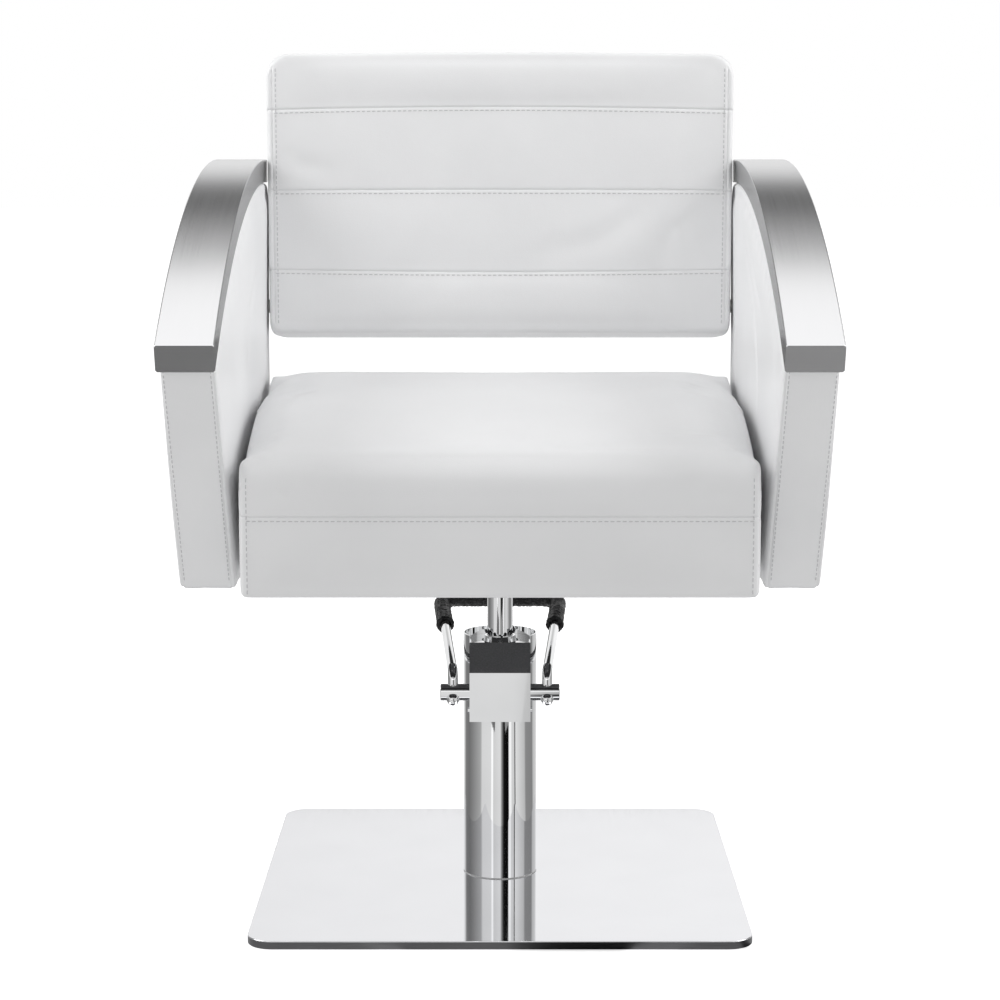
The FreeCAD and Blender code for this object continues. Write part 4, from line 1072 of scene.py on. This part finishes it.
def make_strap(name, side):
    """The bent steel band over an arm: a rounded box section swept along the arc, with end caps."""
    bm = bmesh.new()
    section = strap_section()
    lengths = [0.0]
    for first, last in zip(section, section[1:] + section[:1]):
        lengths.append(lengths[-1] + math.dist(first, last))
    uv = bm.loops.layers.uv.new("along")
    rings = []
    for k in range(STRAP_STATIONS + 1):
        share = k / STRAP_STATIONS
        ring = []
        for x, height in section:
            radius = ARC_RADIUS + height
            front = nose_y(radius)
            y = front + (strap_high.y - front) * share
            ring.append(bm.verts.new((side * ARM_MIDDLE + x, y, arc_height(radius, y))))
        rings.append(ring)
    count = len(section)
    arc_length = ARC_RADIUS * STRAP_TURN
    for k in range(STRAP_STATIONS):
        for j in range(count):
            after = (j + 1) % count
            face = bm.faces.new((rings[k][j], rings[k][after], rings[k + 1][after], rings[k + 1][j]))
            spots = ((k, j), (k, j + 1), (k + 1, j + 1), (k + 1, j))
            for loop, (station, place) in zip(face.loops, spots):
                loop[uv].uv = (station / STRAP_STATIONS * arc_length, lengths[place])
    caps = [bm.faces.new(list(reversed(rings[0]))), bm.faces.new(rings[-1])]
    for cap in caps:
        for loop in cap.loops:
            loop[uv].uv = (loop.vert.co.x, loop.vert.co.z)
    rims = {edge for cap in caps for edge in cap.edges}
    bmesh.ops.bevel(bm, geom=list(rims), offset=0.9 * MM, segments=3, profile=0.5, affect="EDGES")
    bmesh.ops.recalc_face_normals(bm, faces=bm.faces)
    strap = from_bmesh("arm_band_" + name, bm, STRAP_STEEL)
    # The side faces take the steel painted dark, a painted reflection.
    strap.data.materials.append(STRAP_SIDE_PAINTED_DARK)
    for face in strap.data.polygons:
        face.material_index = 1 if abs(face.normal.x) > 0.8 else 0
    with_modifier(strap, "WEIGHTED_NORMAL", keep_sharp=True, weight=60)
    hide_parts("arm_strap_" + name)
    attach(strap, "chair")


# -------- base plate and grip
plate_low, plate_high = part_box("base_plate")
PLATE_CORNER = 25.0 * MM
PLATE_RIM = 0.8 * MM


def make_base_plate():
    """The square plate: polished top with a fine rounded rim, over a duller ground edge painted dark as a
    painted reflection.
    """
    half = plate_high.x
    rim_start = plate_high.z - PLATE_RIM
    levels = [(plate_low.z, PLATE_RIM / 2), (plate_low.z + PLATE_RIM / 2, 0.0), (rim_start, 0.0)]
    for step in range(1, 5):
        angle = math.radians(90.0 * step / 4)
        levels.append((rim_start + PLATE_RIM * math.sin(angle), PLATE_RIM * (1 - math.cos(angle))))
    bm = bmesh.new()
    rings = []
    for height, inset in levels:
        outline = []
        for quarter in range(4):
            sign_x = 1 if quarter in (0, 3) else -1
            sign_y = 1 if quarter in (0, 1) else -1
            centre = (sign_x * (half - PLATE_CORNER), sign_y * (half - PLATE_CORNER))
            turned(outline, centre, 90.0 * quarter - 4.0, 90.0 * quarter + 90.0, PLATE_CORNER - inset, 24)
        rings.append([bm.verts.new((x, y, height)) for x, y in outline])
    skin(bm, rings)
    bmesh.ops.recalc_face_normals(bm, faces=bm.faces)
    plate = from_bmesh("polished_base", bm, PLATE)
    # The edge faces take the steel painted dark, a painted dark reflection.
    plate.data.materials.append(PLATE_EDGE_PAINTED_DARK)
    for face in plate.data.polygons:
        face.material_index = 1 if abs(face.normal.z) < 0.8 and face.center.z < rim_start else 0
    with_modifier(plate, "WEIGHTED_NORMAL", keep_sharp=True, weight=80)
    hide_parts("base_plate")
    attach(plate, "base")


GRIP_PEBBLE = 4.2 * MM
GRIP_RELIEF = 0.9 * MM
GRIP_SHARPNESS = 2.6
GRIP_GROUND = 0.7
GRIP_VOXEL = 1.3 * MM


def make_grip():
    """The moulded grip with its raised non-slip pebbles as real relief."""
    grip = add_object("moulded_grip", nodes["lever_grip"].data.copy(), FINISHES["grip_rubber"])
    with_modifier(grip, "REMESH", mode="VOXEL", voxel_size=GRIP_VOXEL, use_smooth_shade=True)
    relax(grip.data, 3, 0.5)
    places = coordinates(grip.data)
    ridges = np.empty(len(places))
    for index, place in enumerate(places):
        distances, _ = noise.voronoi(Vector(place) / GRIP_PEBBLE)
        ridges[index] = min(1.0, (distances[1] - distances[0]) * GRIP_SHARPNESS)
    lift = GRIP_RELIEF * (ridges - GRIP_GROUND)
    set_coordinates(grip.data, places + normals(grip.data) * lift[:, None])
    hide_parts("lever_grip")
    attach(grip, "foot_lever")


make_base_plate()
make_grip()
make_seat_cushion()
make_back_front()
make_back_rear()
for arm_name, arm_side in (("left", -1), ("right", 1)):
    make_arm_pad(arm_name, arm_side)
    make_strap(arm_name, arm_side)


# -------- floor, light and camera
def glossy_only(piece):
    """A studio card that only shows in reflections."""
    piece.visible_camera = False
    piece.visible_diffuse = False
    piece.visible_shadow = False
    piece.visible_transmission = False


FLOOR_HALF = 30.0
FLOOR_GLOW = 0.75


def make_floor():
    """A pale floor that glows a little, so that it meets the white backdrop without a line."""
    shader = Shader("studio_white")
    shader.set(Base_Color=(0.80, 0.80, 0.805, 1.0), Roughness=0.9, Specular_IOR_Level=0.1)
    shader.set(Emission_Color=(1.0, 1.0, 1.0, 1.0), Emission_Strength=FLOOR_GLOW)
    bm = bmesh.new()
    bmesh.ops.create_grid(bm, x_segments=1, y_segments=1, size=FLOOR_HALF)
    floor = from_bmesh("studio_floor", bm, shader.material)
    floor.location.z = -0.2 * MM
    floor.visible_diffuse = False


# What stands round the chair in the studio, as (direction, tone) along one turn. Directions are in
# degrees from the sitter's front, growing to the +X side; tones are screen values from 0 to 1.
SURROUND = (
    (-180, 0.93), (-150, 0.88), (-131, 0.46), (-110, 0.43), (-97, 0.48), (-62, 0.64), (-57, 0.82),
    (-28, 0.84), (-26, 0.99), (-22, 0.99), (-20, 0.80), (-4, 0.84), (1, 0.84), (3, 0.66), (12, 0.10),
    (25, 0.06),
    (27, 0.95), (33, 0.96), (36, 0.81), (44, 0.79), (45, 0.23), (47, 0.23), (48, 0.86), (80, 0.72),
    (86, 0.52), (118, 0.50), (124, 0.72), (150, 0.80), (158, 0.95), (180, 0.93),
)
CARD_NEAR = 0.05
CARD_FAR = 2.6
CARD_TOP = 1.0
CARD_LIFT = 0.4 * MM
SCREEN_GAMMA = 2.2
PLATE_REFLECTANCE = 0.9


def toned(name, bm):
    """A glowing card whose tone is painted on its points."""
    shader = Shader(name)
    shader.set(Base_Color=(0.0, 0.0, 0.0, 1.0), Roughness=1.0)
    shader.set(Specular_IOR_Level=0.0, Emission_Strength=1.0)
    tone = add_node(shader.tree, "ShaderNodeAttribute", {}, attribute_name="tone")
    shader.drive("Emission Color", tone.outputs["Color"])
    card = from_bmesh(name, bm, shader.material)
    glossy_only(card)
    return card


def toned_point(bm, place, light):
    """Adds a point that carries its card's tone."""
    vertex = bm.verts.new(place)
    vertex[bm.verts.layers.float_color["tone"]] = (light, light, light, 1.0)
    return vertex


def make_surround():
    """Cards that fill every direction round the chair: along the floor, then up a low wall."""
    bm = bmesh.new()
    bm.verts.layers.float_color.new("tone")
    columns = []
    for direction in range(-180, 181):
        screen = float(np.interp(direction, *zip(*SURROUND)))
        light = screen ** SCREEN_GAMMA / PLATE_REFLECTANCE
        angle = math.radians(direction)
        heading = Vector((math.sin(angle), -math.cos(angle), 0))
        lift = Vector((0, 0, CARD_LIFT))
        far = heading * CARD_FAR
        places = (heading * CARD_NEAR + lift, far + lift, far + Vector((0, 0, CARD_TOP)))
        columns.append([toned_point(bm, place, light) for place in places])
    for before, after in zip(columns, columns[1:]):
        for j in range(2):
            bm.faces.new((before[j], after[j], after[j + 1], before[j + 1]))
    toned("surround_cards", bm)


def make_flat_card(name, corners, screen):
    """One flat card of an even tone, given its corners in order."""
    bm = bmesh.new()
    bm.verts.layers.float_color.new("tone")
    bm.faces.new([toned_point(bm, corner, screen ** SCREEN_GAMMA) for corner in corners])
    toned(name, bm)


NOSE_CARD_Z = 0.8 * MM
NOSE_CARD_X = (0.20, 0.66)
NOSE_CARD_Y = (-1.45, -0.70)
NOSE_CARD_TONE = {-1: 0.43, 1: 0.58}
BACK_CARD_HALF = 1.3
BACK_CARD_Y = 2.5
BACK_CARD_Z = (0.25, 0.60)
BACK_CARD_TONE = 0.5


def square(first, second):
    """The four corners of a rectangle from its ranges along two axes, in order round it."""
    return [(first[0], second[0]), (first[1], second[0]), (first[1], second[1]), (first[0], second[1])]


def make_cards():
    """Grey cards for the arm bands' ends, on the floor in front, and for their sides, low behind."""
    make_surround()
    for name, side in (("left", -1), ("right", 1)):
        ends = (side * NOSE_CARD_X[0], side * NOSE_CARD_X[1])
        corners = [Vector((x, y, NOSE_CARD_Z)) for x, y in square(ends, NOSE_CARD_Y)]
        make_flat_card("nose_card_" + name, corners, NOSE_CARD_TONE[side])
    width = (-BACK_CARD_HALF, BACK_CARD_HALF)
    corners = [Vector((x, BACK_CARD_Y, z)) for x, z in square(width, BACK_CARD_Z)]
    make_flat_card("low_back_card", corners, BACK_CARD_TONE)


LAMP_TARGET = Vector((0.0, 0.0, 0.5))
SIDE_LAMP_X = 2.2
SIDE_LAMP_YZ = (-0.05, 2.25)
SIDE_LAMP_SIZE = (1.6, 1.6)
SIDE_LAMP_POWER = 41.0
FRONT_LAMP_PLACE = (-0.8, -3.6, 1.8)
FRONT_LAMP_SIZE = (2.6, 2.2)
FRONT_LAMP_POWER = 5.0


def add_area(name, place, size, power):
    """A rectangular lamp that looks at the middle of the chair."""
    lamp = bpy.data.lights.new(name, "AREA")
    lamp.shape = "RECTANGLE"
    lamp.size, lamp.size_y = size
    lamp.energy = power
    holder = bpy.data.objects.new(name, lamp)
    bpy.context.scene.collection.objects.link(holder)
    holder.location = place
    holder.rotation_euler = (LAMP_TARGET - Vector(place)).to_track_quat("-Z", "Y").to_euler()


# What polished faces reflect above the floor, as (upward part of the direction, tone).
SKY_BANDS = (
    (0.00, 0.67), (0.12, 0.64), (0.20, 0.74), (0.37, 0.66), (0.48, 0.15), (0.56, 0.07), (0.61, 0.08),
    (0.70, 0.26), (0.78, 0.42), (0.82, 0.60), (0.845, 0.95), (0.95, 0.97),
)
SKY_STRENGTH = 1.35
LIGHT_FROM_BELOW = 0.76
LIGHT_FROM_ABOVE = 0.54
HORIZON_BLUR = 0.2


def make_world():
    """White for the camera, soft light for dull faces and a banded sky for polished ones."""
    world = bpy.data.worlds.new("studio")
    bpy.context.scene.world = world
    world.use_nodes = True
    tree = world.node_tree
    direction = add_node(tree, "ShaderNodeTexCoord", {}).outputs["Generated"]
    height = add_node(tree, "ShaderNodeSeparateXYZ", {"Vector": direction}).outputs["Z"]

    ramp = add_node(tree, "ShaderNodeValToRGB", {"Fac": height})
    elements = ramp.color_ramp.elements
    elements[0].position, elements[1].position = SKY_BANDS[0][0], SKY_BANDS[-1][0]
    for position, _ in SKY_BANDS[1:-1]:
        elements.new(position)
    for element, (_, tone) in zip(elements, SKY_BANDS):
        element.color = (tone, tone, tone, 1.0)
    inputs = {0: ramp.outputs["Color"], "Scale": SKY_STRENGTH}
    sky = add_node(tree, "ShaderNodeVectorMath", inputs, operation="SCALE")

    soft = add_node(tree, "ShaderNodeMapRange", {
        "Value": height, "From Min": -HORIZON_BLUR, "From Max": HORIZON_BLUR,
        "To Min": LIGHT_FROM_BELOW, "To Max": LIGHT_FROM_ABOVE,
    })
    path = add_node(tree, "ShaderNodeLightPath", {})
    inputs = {
        "Factor": path.outputs["Is Glossy Ray"], "A": soft.outputs["Result"], "B": sky.outputs["Vector"],
    }
    lit = add_node(tree, "ShaderNodeMix", inputs, data_type="RGBA")
    inputs = {
        "Factor": path.outputs["Is Camera Ray"], "A": lit.outputs["Result"], "B": (1.0, 1.0, 1.0, 1.0),
    }
    seen = add_node(tree, "ShaderNodeMix", inputs, data_type="RGBA")
    tree.links.new(seen.outputs["Result"], tree.nodes["Background"].inputs["Color"])


make_floor()
make_cards()
make_world()
for lamp_side in (-1, 1):
    add_area("side_softbox", (lamp_side * SIDE_LAMP_X, *SIDE_LAMP_YZ), SIDE_LAMP_SIZE, SIDE_LAMP_POWER)
add_area("front_fill", FRONT_LAMP_PLACE, FRONT_LAMP_SIZE, FRONT_LAMP_POWER)

CAMERA_PLACE = (0.0, -2.5126, 0.7477)
CAMERA_PITCH = math.radians(7.97)
CAMERA_LENS = 90.0
CAMERA_FILM = 36.0
CAMERA_REACH = 100.0
camera_data = bpy.data.cameras.new("camera")
camera_data.lens = CAMERA_LENS
camera_data.sensor_width = CAMERA_FILM
camera_data.clip_end = CAMERA_REACH
camera = bpy.data.objects.new("camera", camera_data)
bpy.context.scene.collection.objects.link(camera)
camera.location = CAMERA_PLACE
camera.rotation_euler = (math.pi / 2 - CAMERA_PITCH, 0.0, 0.0)
bpy.context.scene.camera = camera
bpy.context.scene.view_settings.view_transform = "Standard"
